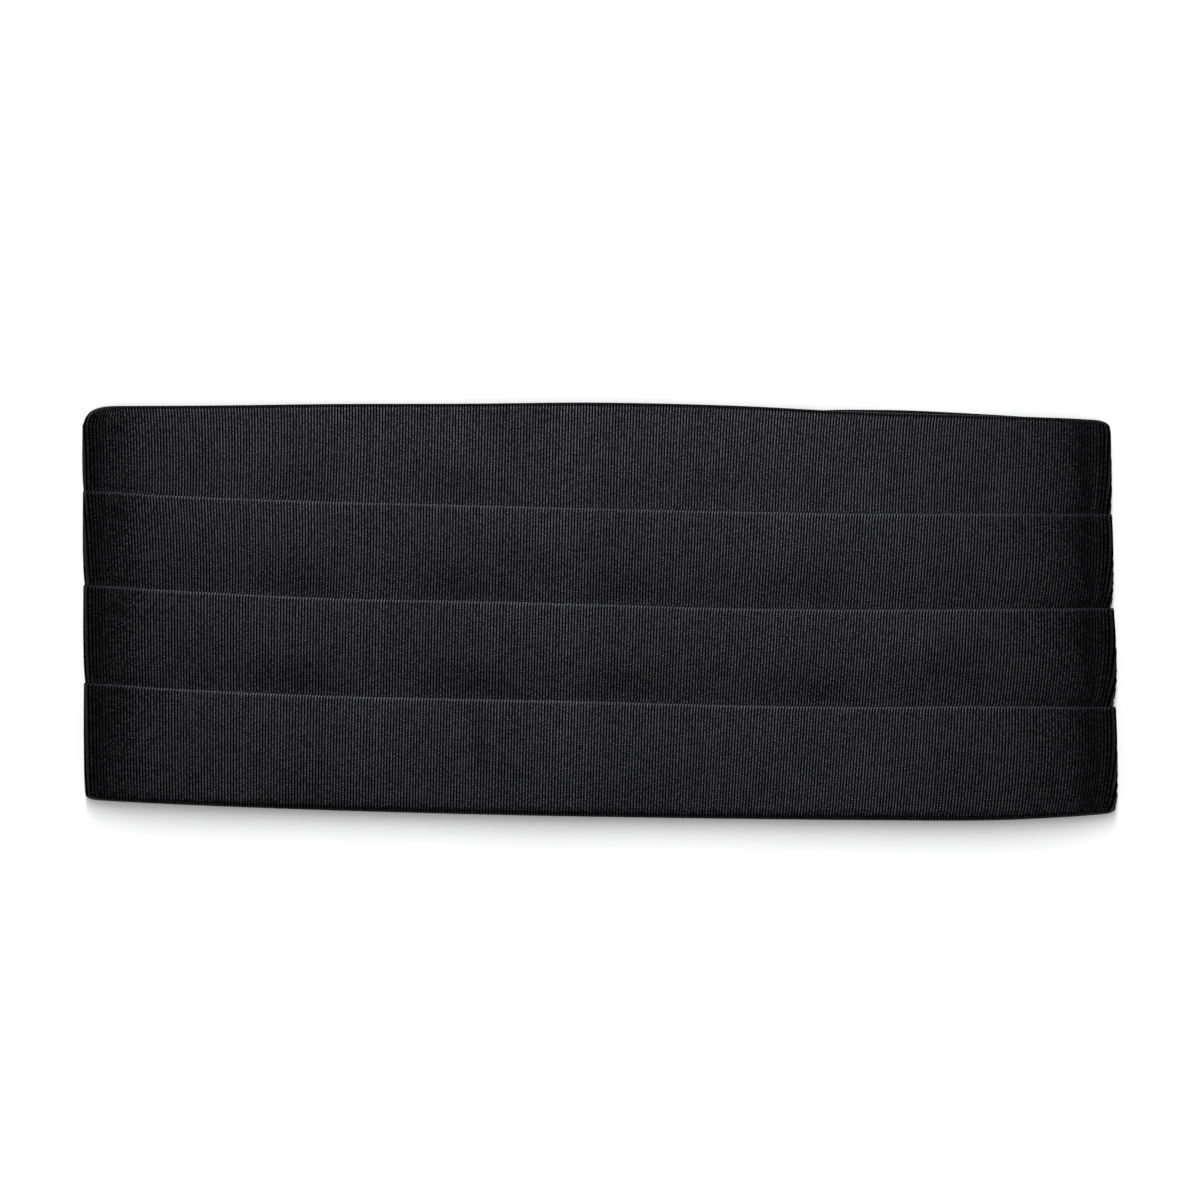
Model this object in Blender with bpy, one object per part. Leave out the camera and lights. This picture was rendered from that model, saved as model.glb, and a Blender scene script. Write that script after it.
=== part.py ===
"""A pleated cummerbund, folded flat.

The front lies face up and both ends are folded behind it, so the garment rests on the outside of
its own ends. +X runs along the garment, +Y runs across it towards the edge that is worn at the top,
and +Z is up from the surface that it lies on. The origin is under the middle of the whole.

Four strips of ribbed cloth make the front. Each strip's top edge is a fold that lies on the strip
above it, so the pleats open upwards. Every strip runs round the left and the right side fold and a
little way under. What is folded away inside is one rounded solid, and a strap with a slide joins the
two ends underneath.
"""

import math

import bmesh
import bpy

MM = 0.001

# Cloth
CLOTH = 1.2 * MM  # one strip: two plies of ribbed silk over their interlining
SEAM_GAP = 0.3 * MM
LIFT = CLOTH + SEAM_GAP  # how far a fold stands on the strip above it
TOP_STRIP_LIFT = 0.8 * MM  # the top strip has only the soft inside under it
TUCK = 7.5 * MM  # how far a strip runs on under the next one
EDGE_ROLL = 1.8 * MM  # outer radius of the rolled top and bottom edges
EDGE_WRAP = 1.2 * MM  # how far the rolled edges reach down past the strip's own inside
EDGE_WRAP_AT_SIDE = 0.2 * MM

# The folded section, seen along Y
THICKNESS = 11.0 * MM  # of the whole, on the pleats
STACK = CLOTH + LIFT  # two strips where they lap
SIDE_HEIGHT = 4.4 * MM  # the height at which the side folds reach out furthest
LOWER_ROLL = 3.5 * MM  # the side folds turn under within this length
TAIL = 9.0 * MM  # what follows of a strip, flat underneath
LEFT_SLOPE = 15.0 * MM  # the front falls away to the left fold within this length
RIGHT_SLOPE = 27.0 * MM  # and, more softly, to the right one
LEFT_EDGE = -156.1 * MM
RIGHT_EDGE = 155.2 * MM

# The outline from above, in millimetres: a row for each place across the front. The columns are
# the strips' top edges, then the front's bottom edge.
FRONT_COLUMNS = ("x", "top", "fold_2", "fold_3", "fold_4", "bottom")
FRONT = (
    (-157.0, 61.6, 36.3, 7.9, -21.8, -56.6),
    (-120.0, 62.2, 34.5, 5.8, -23.9, -58.5),
    (-80.0, 62.8, 33.1, 3.9, -25.6, -60.0),
    (-40.0, 62.9, 32.1, 3.1, -26.5, -61.2),
    (0.0, 63.1, 31.1, 2.1, -27.3, -61.9),
    (40.0, 62.2, 30.2, 0.9, -28.4, -62.5),
    (80.0, 60.2, 29.5, 0.5, -28.9, -63.0),
    (120.0, 58.8, 29.5, 0.7, -28.7, -62.8),
    (157.0, 57.5, 29.1, 0.7, -29.3, -60.9),
)
STRIPS = (
    ("pleat_strip_1_top", "top", "fold_2"),
    ("pleat_strip_2", "fold_2", "fold_3"),
    ("pleat_strip_3", "fold_3", "fold_4"),
    ("pleat_strip_4_bottom", "fold_4", "bottom"),
)
# The edges of the two ends that are folded behind. The right one shows past the front's top edge.
BACK_COLUMNS = ("x", "top", "bottom")
BACK = (
    (-157.0, 60.9, -56.0),
    (-90.0, 59.8, -54.5),
    (-60.0, 57.4, -52.0),
    (-36.0, 52.0, -48.0),
    (36.0, 54.5, -46.5),
    (60.0, 60.4, -52.0),
    (85.0, 61.2, -56.0),
    (115.0, 60.0, -58.5),
    (140.0, 58.4, -59.9),
    (157.0, 57.0, -60.3),
)

# The side folds from above: each corner's radius, and the right fold's lean
TOP_LEFT_CORNER = 5.0 * MM
BOTTOM_LEFT_CORNER = 1.8 * MM
TOP_RIGHT_CORNER = 3.2 * MM
BOTTOM_RIGHT_CORNER = 2.4 * MM
LEFT_LEAN = -0.3 * MM  # how far a side fold reaches out at the bottom, and in at the top
RIGHT_LEAN = 1.4 * MM
LEAN_REACH = 60.0 * MM  # the lean fades out this far into the front
CORNER_REACH = 14.0 * MM
SIDE_BULGE = 0.45 * MM  # each strip swells by this between its folds

# How a strip comes down from its own fold to the next: 1 is a straight slope
FRONT_CURVE = 3.0
SIDE_CURVE = 8.0

# The ends underneath, and the strap between them
END_INSIDE = 36.0 * MM  # half the distance between the two ends
INSIDE_CLEARANCE = 0.4 * MM
INSIDE_TOP = THICKNESS - STACK - INSIDE_CLEARANCE
LAYER_GROOVE_HEIGHT = 5.6 * MM
LAYER_GROOVE_DEPTH = 2.6 * MM
LINING_HEIGHT = 3.8 * MM  # the front's own inside, between the two ends
PLEAT_STEP = 0.8 * MM
PLEAT_RAMP = 4.0 * MM
BINDING_WIDTH = 10.0 * MM
BINDING_THICKNESS = 3.3 * MM
BINDING_BEVEL = 0.9 * MM
STRAP_WIDTH = 25.0 * MM
STRAP_THICKNESS = 0.9 * MM
STRAP_HEIGHT = 1.2 * MM
STRAP_MIDDLE = 3.0 * MM
SLIDE_LENGTH = 20.0 * MM
SLIDE_BAR = 2.2 * MM
SLIDE_BAR_THICKNESS = 0.8 * MM
SLIDE_INSET = 0.2 * MM  # the bars end this far inside the rails' faces

# How finely the cloth is divided
FRONT_SECTIONS = 18
SLOPE_SECTIONS = 6
ROLL_SECTIONS = 4
STRIP_ROWS = (0.3, 0.55, 0.75, 0.88, 0.96, 1.0)
CORNER_ROWS = (3.0 * MM, 4.6 * MM)  # from the edge beside a rounded corner
ARC_STEPS = 3


def clear_scene():
    for obj in list(bpy.data.objects):
        bpy.data.objects.remove(obj, do_unlink=True)


def fabric(name, color, roughness):
    material = bpy.data.materials.new(name)
    material.use_nodes = True
    shader = material.node_tree.nodes["Principled BSDF"]
    shader.inputs["Base Color"].default_value = (*color, 1.0)
    shader.inputs["Roughness"].default_value = roughness
    shader.inputs["Metallic"].default_value = 0.0
    return material


def metal(name, color, roughness):
    material = fabric(name, color, roughness)
    material.node_tree.nodes["Principled BSDF"].inputs["Metallic"].default_value = 1.0
    return material


def smoothstep(t):
    t = min(max(t, 0.0), 1.0)
    return t * t * (3.0 - 2.0 * t)


def read_across(table, columns, column, x):
    """A table's column at any x, on a smooth curve through its rows."""
    rows = [(row[0] * MM, row[columns.index(column)] * MM) for row in table]
    x = min(max(x, rows[0][0]), rows[-1][0])
    last = len(rows) - 1
    i = max(0, min(last - 1, sum(row[0] <= x for row in rows) - 1))

    def slope(j):
        low = rows[max(j - 1, 0)]
        high = rows[min(j + 1, last)]
        return (high[1] - low[1]) / (high[0] - low[0])

    (x0, y0), (x1, y1) = rows[i], rows[i + 1]
    span = x1 - x0
    t = (x - x0) / span
    near = y0 * (1 + 2 * t) * (1 - t) ** 2 + slope(i) * span * t * (1 - t) ** 2
    far = y1 * (3 - 2 * t) * t**2 - slope(i + 1) * span * (1 - t) * t**2
    return near + far


def front_line(column, x):
    return read_across(FRONT, FRONT_COLUMNS, column, x)


def back_line(column, x):
    return read_across(BACK, BACK_COLUMNS, column, x)


def fold_behind(column, x):
    """Where a pleat's fold lies on an end: it keeps the share of the height it has at the side."""
    side = math.copysign(RIGHT_EDGE, x)
    top, fold, bottom = (front_line(name, side) for name in ("top", column, "bottom"))
    share = (top - fold) / (top - bottom)
    return back_line("top", x) * (1.0 - share) + back_line("bottom", x) * share


def corner_pull(distance, radius):
    """How far a corner of this radius draws the side in, this far from the edge beside it."""
    near = min(max(radius - distance, 0.0), radius)
    return radius - math.sqrt(radius**2 - near**2)


def drawn_to_side(x, y):
    """The place across that a point takes once the side folds have their outline from above."""
    top = front_line("top", x) - y
    bottom = y - front_line("bottom", x)
    low = (top - bottom) / (top + bottom)
    if x < 0:
        pull = corner_pull(top, TOP_LEFT_CORNER) + corner_pull(bottom, BOTTOM_LEFT_CORNER)
        reach = LEFT_LEAN * low
        from_side = x - LEFT_EDGE
    else:
        pull = corner_pull(top, TOP_RIGHT_CORNER) + corner_pull(bottom, BOTTOM_RIGHT_CORNER)
        reach = RIGHT_LEAN * low
        from_side = RIGHT_EDGE - x
    outwards = reach * smoothstep(1.0 - from_side / LEAN_REACH)
    outwards -= pull * smoothstep(1.0 - from_side / CORNER_REACH)
    return x - outwards if x < 0 else x + outwards


class Station:
    """One place along the line that the cloth follows round the folded garment."""

    def __init__(self, x, z, out_x, out_z, turned):
        length = math.hypot(out_x, out_z)
        self.x = x
        self.z = z
        self.out = (out_x / length, out_z / length)
        self.sideways = abs(out_x) / length
        self.turned = turned  # 0 on the flat front, 1 from the side fold on

    def place(self, y, height):
        x = self.x + self.out[0] * height
        z = self.z + self.out[1] * height
        return (drawn_to_side(x, y), y, z)


def side_fold(edge, slope, inwards):
    """The stations of one side fold, from the tail underneath up to the flat front."""
    guide_edge = edge + inwards * STACK
    rise = THICKNESS - STACK - SIDE_HEIGHT
    fall = SIDE_HEIGHT - STACK
    stations = [Station(guide_edge + inwards * (LOWER_ROLL + TAIL), STACK, 0.0, -1.0, 1.0)]
    for i in range(ROLL_SECTIONS):
        angle = math.pi / 2 * i / ROLL_SECTIONS
        x = guide_edge + inwards * LOWER_ROLL * (1 - math.sin(angle))
        z = SIDE_HEIGHT - fall * math.cos(angle)
        out = (-inwards * math.sin(angle) / LOWER_ROLL, -math.cos(angle) / fall)
        stations.append(Station(x, z, *out, 1.0))
    for i in range(SLOPE_SECTIONS + 1):
        angle = math.pi / 2 * i / SLOPE_SECTIONS
        x = guide_edge + inwards * slope * (1 - math.cos(angle))
        z = SIDE_HEIGHT + rise * math.sin(angle)
        out = (-inwards * math.cos(angle) / slope, math.sin(angle) / rise)
        stations.append(Station(x, z, *out, 1.0 - smoothstep(i / SLOPE_SECTIONS)))
    return stations


def cloth_line():
    """Every station, from the left end's tail over the front to the right end's tail."""
    left = side_fold(LEFT_EDGE, LEFT_SLOPE, 1.0)
    right = side_fold(RIGHT_EDGE, RIGHT_SLOPE, -1.0)[::-1]
    start = left[-1].x
    span = right[0].x - start
    flat = [
        Station(start + span * i / FRONT_SECTIONS, left[-1].z, 0.0, 1.0, 0.0)
        for i in range(1, FRONT_SECTIONS)
    ]
    return left + flat + right


def strip_height(down, station, lift):
    """How high a strip's inside lies over the soft inside, at a share of the way to the next fold."""
    curve = FRONT_CURVE + (SIDE_CURVE - FRONT_CURVE) * station.turned
    swell = SIDE_BULGE * station.sideways**2 * math.sin(math.pi * down)
    return lift * (1.0 - down**curve) + swell


def arc(center_y, center_h, radius, start, end):
    """Points along an arc in a section, with its ends."""
    angles = [start + (end - start) * i / ARC_STEPS for i in range(ARC_STEPS + 1)]
    return [(center_y + radius * math.cos(a), center_h + radius * math.sin(a)) for a in angles]


def rolled_edge(edge_y, inside, wrap, up):
    """A wall's rolled edge in a section: its outer line out to the end, then its inner line back."""
    center_h = inside + CLOTH - EDGE_ROLL
    low = min(-wrap, center_h - SEAM_GAP)
    inner_radius = EDGE_ROLL - CLOTH
    outer = arc(0.0, center_h, EDGE_ROLL, math.pi / 2, 0.0)
    inner = arc(0.0, center_h, inner_radius, 0.0, math.pi / 2)
    line = outer + [(EDGE_ROLL, low), (inner_radius, low)] + inner
    return [(edge_y + up * (y - EDGE_ROLL), h) for y, h in line]


def strip_shares(height, first, last):
    """The shares of a strip's height, from its fold down, at which its section has a point."""
    shares = [share for share in STRIP_ROWS if share < 0.9 or not last]
    if first:
        shares = [row / height for row in CORNER_ROWS] + shares
    if last:
        shares.append(1.0 - CORNER_ROWS[0] / height)
    return shares


def strip_section(station, top_column, bottom_column):
    """One ring of a strip: (y, height) down its outside and back up its inside."""
    top = front_line(top_column, station.x)
    bottom = front_line(bottom_column, station.x)
    wrap = EDGE_WRAP + (EDGE_WRAP_AT_SIDE - EDGE_WRAP) * station.turned
    first = top_column == "top"
    last = bottom_column == "bottom"
    lift = TOP_STRIP_LIFT if first else LIFT
    rows = [
        (top + (bottom - top) * share, strip_height(share, station, lift))
        for share in strip_shares(top - bottom, first, last)
    ]
    if first:
        head = rolled_edge(top, lift, wrap, 1.0)[::-1]
    else:
        radius = CLOTH / 2
        head = arc(top - radius, lift + radius, radius, -math.pi / 2, math.pi / 2)
    if last:
        at_roll = 1.0 - EDGE_ROLL / (top - bottom)
        foot = rolled_edge(bottom, strip_height(at_roll, station, lift), wrap, -1.0)
    else:
        foot = [(bottom - TUCK, CLOTH), (bottom - TUCK, 0.0)]
    return head + [(y, h + CLOTH) for y, h in rows] + foot + rows[::-1]


def loft(bm, rings):
    """Draws the first ring and extrudes it from section to section, then closes both ends."""
    ring = [bm.verts.new(point) for point in rings[0]]
    edges = [bm.edges.new((a, b)) for a, b in zip(ring, ring[1:] + ring[:1])]
    bmesh.ops.contextual_create(bm, geom=edges)
    for points in rings[1:]:
        grown = bmesh.ops.extrude_edge_only(bm, edges=edges)["geom"]
        new = {v for v in grown if isinstance(v, bmesh.types.BMVert)}
        following = []
        for vert, point in zip(ring, points):
            copy = next(e.other_vert(vert) for e in vert.link_edges if e.other_vert(vert) in new)
            copy.co = point
            following.append(copy)
        ring = following
        edges = [bm.edges.get((a, b)) for a, b in zip(ring, ring[1:] + ring[:1])]
    bmesh.ops.contextual_create(bm, geom=edges)
    bmesh.ops.recalc_face_normals(bm, faces=bm.faces)


def add_object(name, bm, material, sharp_above=math.radians(40)):
    mesh = bpy.data.meshes.new(name)
    bm.to_mesh(mesh)
    bm.free()
    mesh.shade_smooth()
    mesh.set_sharp_from_angle(angle=sharp_above)
    mesh.materials.append(material)
    obj = bpy.data.objects.new(name, mesh)
    bpy.context.scene.collection.objects.link(obj)
    return obj


def make_strip(name, top_column, bottom_column, material):
    rings = [
        [station.place(y, height) for y, height in strip_section(station, top_column, bottom_column)]
        for station in cloth_line()
    ]
    bm = bmesh.new()
    loft(bm, rings)
    return add_object(name, bm, material)


def inside_section(x, top_z, bottom_z, below):
    """One ring of the folded-away layers: the front's inside above and what lies below it."""
    margin = CLOTH + INSIDE_CLEARANCE
    upper_top = front_line("top", x) - margin
    upper_bottom = front_line("bottom", x) + margin
    height = top_z - bottom_z
    scale = min(1.0, height / (THICKNESS - 2 * STACK))
    groove_z = min(max(LAYER_GROOVE_HEIGHT, bottom_z + 0.4 * height), top_z - 0.3 * height)
    groove = LAYER_GROOVE_DEPTH * scale
    if below == "an end":
        lower_top = back_line("top", x)
        lower_bottom = back_line("bottom", x)
    else:
        lower_top = upper_top
        lower_bottom = upper_bottom
    upper_round = min(1.0 * MM, 0.3 * (top_z - groove_z))
    lower_round = min(1.6 * MM, 0.4 * (groove_z - bottom_z))
    waist_top = min(upper_top, lower_top) - groove
    waist_bottom = max(upper_bottom, lower_bottom) + groove
    ring = [
        (upper_bottom + upper_round, top_z),
        (upper_top - upper_round, top_z),
        (upper_top, top_z - upper_round),
        (upper_top, groove_z + 2 * upper_round),
        (upper_top - upper_round, groove_z + upper_round / 2),
        (waist_top, groove_z),
        (lower_top - lower_round, groove_z - lower_round / 4),
        (lower_top, groove_z - lower_round),
        (lower_top, bottom_z + lower_round),
        (lower_top - lower_round, bottom_z),
    ]
    step = PLEAT_STEP if below == "an end" else 0.0
    for column in ("fold_2", "fold_3", "fold_4"):
        fold = fold_behind(column, x)
        ring += [
            (fold + PLEAT_RAMP, bottom_z),
            (fold + SEAM_GAP, bottom_z + step),
            (fold, bottom_z),
        ]
    ring += [
        (lower_bottom + lower_round, bottom_z),
        (lower_bottom, bottom_z + lower_round),
        (lower_bottom, groove_z - lower_round),
        (lower_bottom + lower_round, groove_z - lower_round / 4),
        (waist_bottom, groove_z),
        (upper_bottom + upper_round, groove_z + upper_round / 2),
        (upper_bottom, groove_z + 2 * upper_round),
        (upper_bottom, top_z - upper_round),
    ]
    return [(drawn_to_side(x, y), y, z) for y, z in ring]


def inside_heights(along, slope):
    """The top and bottom of the folded-away layers, this far in from a side fold's inside."""
    rise = INSIDE_TOP - SIDE_HEIGHT
    fall = SIDE_HEIGHT - STACK - INSIDE_CLEARANCE
    up = max(0.0, (slope - along) / (slope - INSIDE_CLEARANCE))
    past = max(0.0, (LOWER_ROLL - along) / (LOWER_ROLL - INSIDE_CLEARANCE))
    return SIDE_HEIGHT + rise * math.sqrt(1.0 - up**2), SIDE_HEIGHT - fall * math.sqrt(1.0 - past**2)


def inside_half(edge, slope, inwards):
    """The rings of one half, from the side fold's tip to the middle."""
    guide_edge = edge + inwards * STACK
    tail_end = LOWER_ROLL + TAIL + SEAM_GAP
    step = 0.1 * MM  # a wall that stands almost upright
    rings = []
    for along in (0.7 * MM, 1.5 * MM, LOWER_ROLL, 7.0 * MM, tail_end):
        top_z, bottom_z = inside_heights(along, slope)
        rings.append(inside_section(guide_edge + inwards * along, top_z, bottom_z, "in a fold"))
    for along in (tail_end + step, 20.0 * MM, 30.0 * MM):
        top_z, _ = inside_heights(along, slope)
        rings.append(inside_section(guide_edge + inwards * along, top_z, 0.0, "an end"))
    for share in (2.8, 2.2, 1.7, 1.33, 1.0):
        rings.append(inside_section(-inwards * END_INSIDE * share, INSIDE_TOP, 0.0, "an end"))
    for x in (END_INSIDE - step, END_INSIDE / 2):
        rings.append(inside_section(-inwards * x, INSIDE_TOP, LINING_HEIGHT, "between the ends"))
    return rings


def make_folded_back_ends(material):
    """The layers folded away inside and behind, as one rounded solid that rests on its ends."""
    left = inside_half(LEFT_EDGE, LEFT_SLOPE, 1.0)
    right = inside_half(RIGHT_EDGE, RIGHT_SLOPE, -1.0)
    bm = bmesh.new()
    loft(bm, left + right[::-1])
    return add_object("folded_back_ends", bm, material)


def make_bar(bm, low, high):
    """A plain box between two corners."""
    made = bmesh.ops.create_cube(bm, size=1.0)["verts"]
    size = [b - a for a, b in zip(low, high)]
    middle = [(a + b) / 2 for a, b in zip(low, high)]
    bmesh.ops.scale(bm, verts=made, vec=size)
    bmesh.ops.translate(bm, verts=made, vec=middle)
    return made


def bevelled(obj, width):
    modifier = obj.modifiers.new("soft_edges", "BEVEL")
    modifier.width = width
    modifier.segments = 2
    modifier.limit_method = "ANGLE"
    return obj


def make_end_binding(name, inwards, material):
    """The folded cloth that closes an end and holds the strap."""
    x = -inwards * (END_INSIDE - SEAM_GAP)
    inner = x + inwards * BINDING_WIDTH
    top = back_line("top", x)
    bottom = back_line("bottom", x)
    bm = bmesh.new()
    make_bar(
        bm,
        (min(x, inner), bottom, 0.0),
        (max(x, inner), top, BINDING_THICKNESS),
    )
    return bevelled(add_object(name, bm, material), BINDING_BEVEL)


def make_back_strap(material):
    reach = END_INSIDE - SEAM_GAP - BINDING_WIDTH - SEAM_GAP
    bm = bmesh.new()
    make_bar(
        bm,
        (-reach, STRAP_MIDDLE - STRAP_WIDTH / 2, STRAP_HEIGHT),
        (reach, STRAP_MIDDLE + STRAP_WIDTH / 2, STRAP_HEIGHT + STRAP_THICKNESS),
    )
    return bevelled(add_object("back_strap", bm, material), 0.3 * MM)


def make_strap_slide(material):
    """A slide of three bars: the strap passes over the outer two and under the middle one."""
    inner = STRAP_WIDTH / 2 + SEAM_GAP
    outer = inner + SLIDE_BAR
    bar_reach = (inner + outer) / 2
    top = STRAP_HEIGHT + STRAP_THICKNESS + SEAM_GAP + SLIDE_BAR_THICKNESS + SLIDE_INSET
    end = SLIDE_LENGTH / 2
    bar_end = end - SLIDE_INSET
    low_bar = (SLIDE_INSET, STRAP_HEIGHT - SEAM_GAP)
    high_bar = (top - SLIDE_INSET - SLIDE_BAR_THICKNESS, top - SLIDE_INSET)
    boxes = {
        "strap_slide": ((-end, inner, 0.0), (end, outer, top)),
        "far_rail": ((-end, -outer, 0.0), (end, -inner, top)),
    }
    bar_places = (
        ("left_bar", -bar_end, low_bar),
        ("middle_bar", -SLIDE_BAR / 2, high_bar),
        ("right_bar", bar_end - SLIDE_BAR, low_bar),
    )
    for name, x, (low_z, high_z) in bar_places:
        boxes[name] = ((x, -bar_reach, low_z), (x + SLIDE_BAR, bar_reach, high_z))
    slide = None
    for name, (low, high) in boxes.items():
        bm = bmesh.new()
        bar = make_bar(bm, low, high)
        bmesh.ops.translate(bm, verts=bar, vec=(0.0, STRAP_MIDDLE, 0.0))
        piece = add_object(name, bm, material)
        if slide is None:
            slide = piece
            continue
        piece.hide_render = True
        piece.display_type = "WIRE"
        union = slide.modifiers.new(name, "BOOLEAN")
        union.operation = "UNION"
        union.object = piece
    return slide


def main():
    clear_scene()
    ribbed_silk = fabric("ribbed_silk", (0.014, 0.014, 0.016), 0.5)
    for name, top_column, bottom_column in STRIPS:
        make_strip(name, top_column, bottom_column, ribbed_silk)
    make_folded_back_ends(fabric("folded_layers", (0.012, 0.012, 0.013), 0.6))
    binding_cloth = fabric("end_binding", (0.012, 0.012, 0.014), 0.6)
    make_end_binding("end_binding_left", 1.0, binding_cloth)
    make_end_binding("end_binding_right", -1.0, binding_cloth)
    make_back_strap(fabric("strap_webbing", (0.016, 0.016, 0.017), 0.7))
    make_strap_slide(metal("blackened_metal", (0.06, 0.06, 0.065), 0.35))


main()
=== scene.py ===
# %% [markdown]
# # A pleated cummerbund, folded flat
# A cummerbund is the wide, pleated sash worn with a dinner jacket. This one lies on a white table,
# front up, with both of its ends folded behind. The plain solids of the garment already exist.
# This lesson loads them as a fixed frame, and then dresses each one in ribbed silk, lining,
# webbing and metal, one small cell at a time.
#
# The frame gives the box that every finished piece has to stay in, so we keep it from the start.

import math

import bmesh
import bpy
import numpy as np
from mathutils import Matrix, Vector


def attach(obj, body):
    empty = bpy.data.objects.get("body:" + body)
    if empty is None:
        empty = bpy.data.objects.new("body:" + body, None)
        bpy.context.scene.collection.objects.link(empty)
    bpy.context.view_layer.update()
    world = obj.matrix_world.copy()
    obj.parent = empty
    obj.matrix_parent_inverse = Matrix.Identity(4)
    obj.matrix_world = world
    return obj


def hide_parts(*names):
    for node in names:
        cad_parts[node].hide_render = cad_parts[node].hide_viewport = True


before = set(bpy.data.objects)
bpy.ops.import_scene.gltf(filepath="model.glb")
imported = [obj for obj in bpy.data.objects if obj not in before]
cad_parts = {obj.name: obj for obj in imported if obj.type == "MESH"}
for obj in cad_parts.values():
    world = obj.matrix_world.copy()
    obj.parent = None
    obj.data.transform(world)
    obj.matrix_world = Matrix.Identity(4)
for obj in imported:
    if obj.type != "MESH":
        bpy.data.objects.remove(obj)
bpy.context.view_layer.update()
MM = 0.001
print("solids:", ", ".join(sorted(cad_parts)))

# %% [markdown]
# ## The sizes that drive everything
# The garment is two pleated layers thick and lies in one plane: +X runs along it, +Y runs up to
# the edge that is worn at the top, and +Z points up from the table. The front is a stack of four
# strips, and each strip ends underneath at a binding. Naming every size once, in millimetres,
# means that a change of cloth is a change of one number.

# %% Sizes of the folded garment
THICKNESS = 11.0 * MM  # the whole, over its pleats
GUIDE_DEPTH = 2.7 * MM  # a pleat's outer face lies this far outside the line that we loft along
TOP_STRIP_DEPTH = 2.0 * MM  # the top strip has no other strip under it
LEFT_EDGE = -156.7 * MM
RIGHT_EDGE = 156.1 * MM
LEFT_SLOPE = 24.0 * MM  # the front falls to the left fold within this length
RIGHT_SLOPE = 36.0 * MM  # and more softly to the right one
LEFT_HEIGHT = 4.4 * MM  # the side folds reach out furthest at these heights
RIGHT_HEIGHT = 3.7 * MM
# the cloth sinks a little before each side fold: how deep, how far from its tip, and half its width
LEFT_DENT = (0.15 * MM, 7.0 * MM, 5.0 * MM)
RIGHT_DENT = (0.34 * MM, 4.4 * MM, 3.2 * MM)
LOWER_ROLL = 3.5 * MM  # a side fold turns under within this length
END_INSIDE = 36.0 * MM  # the two ends stop this far from the middle, underneath
print("the garment is", round((RIGHT_EDGE - LEFT_EDGE) / MM, 1), "mm long as it lies folded")

# %% [markdown]
# ## The sizes of a pleat
# A pleat is a strip folded over along its upper edge, so it is two walls thick. On the front, each
# strip comes down from its own fold until the next fold lies on it. Round the side folds the same
# layers are pulled tight, so their walls and steps are given again for each side, smaller.

# %% Sizes of the pleats
TUCK = 7.5 * MM  # a strip runs on under the next one
NOSE_REACH = 1.2 * MM  # the soft fold at a pleat's top edge, seen from above
SHELL = {"front": 0.9 * MM, "left": 0.35 * MM, "right": 0.6 * MM}  # thickness of a folded strip
DROP = {"front": 1.25 * MM, "left": 0.5 * MM, "right": 1.0 * MM}  # from its fold to the next one
EDGE_ROLL = 1.8 * MM  # radius of the rolled long edges
ROLL_PRESSED = 0.4 * MM  # how deep that roll stays where it is folded under
HEM = 2.5 * MM  # the width of the hem behind it
# how far each strip swells, in mm, where it goes round a side fold
SWELL = {"left": (0.15, 0.15, 0.15, 0.15), "right": (0.15, 0.15, 0.6, 0.2)}
print("pleats drop", DROP["front"] / MM, "mm on the front")

# %% [markdown]
# ## The outline
# Seen from above, the garment isn't a rectangle: its long edges bow a little and the fold lines
# sink from left to right. A maker would draw that with a few marks and a flexible curve, and so do
# we. A short table holds the marks, and a cubic curve through them gives every place in between.
# Two other ways would be a Bezier curve object, which is harder to read back at a given x, and a
# sine wave, which can't follow the marks.

# %% The marks along the front and along the ends underneath
def columns(names, rows, unit=MM):
    """A table as named columns. The first column is always a place along the garment."""
    table = dict(zip(names, np.array(rows).T * unit))
    table["x"] = np.array([row[0] for row in rows]) * MM
    return table


FRONT = columns(
    ("x", "top", "fold_2", "fold_3", "fold_4", "bottom"),
    (
        (-157.0, 62.2, 36.6, 8.2, -21.5, -57.1),
        (-120.0, 62.3, 34.8, 6.1, -23.6, -58.8),
        (-80.0, 62.8, 33.4, 4.2, -25.3, -60.3),
        (-40.0, 62.9, 32.4, 3.4, -26.2, -61.4),
        (0.0, 63.2, 31.4, 2.4, -27.0, -62.2),
        (40.0, 62.3, 30.5, 1.2, -28.1, -62.8),
        (80.0, 60.3, 29.8, 0.8, -28.6, -63.2),
        (120.0, 59.2, 29.8, 1.0, -28.4, -63.2),
        (157.0, 58.0, 29.4, 1.0, -29.0, -61.3),
    ),
)
BEHIND = columns(
    ("x", "top", "bottom"),
    (
        (-157.0, 60.9, -56.0),
        (-90.0, 59.8, -54.5),
        (-60.0, 57.4, -52.0),
        (-36.0, 52.0, -48.0),
        (36.0, 54.5, -46.5),
        (60.0, 60.4, -52.0),
        (85.0, 61.2, -56.0),
        (115.0, 60.0, -58.5),
        (140.0, 58.4, -59.9),
        (157.0, 57.0, -60.3),
    ),
)
STRIPS = (
    ("ribbed_strip_1_top", "pleat_strip_1_top", "top", "fold_2"),
    ("ribbed_strip_2", "pleat_strip_2", "fold_2", "fold_3"),
    ("ribbed_strip_3", "pleat_strip_3", "fold_3", "fold_4"),
    ("ribbed_strip_4_bottom", "pleat_strip_4_bottom", "fold_4", "bottom"),
)
print(len(FRONT["x"]), "marks along the front and", len(BEHIND["x"]), "along the ends")

# %% [markdown]
# ## A curve through the marks
# Between two marks we use a cubic that arrives at each mark with the slope of its neighbours, just
# as a flexible curve bends. It works on whole arrays of x at once, because a strip has thousands
# of places to look up.

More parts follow.
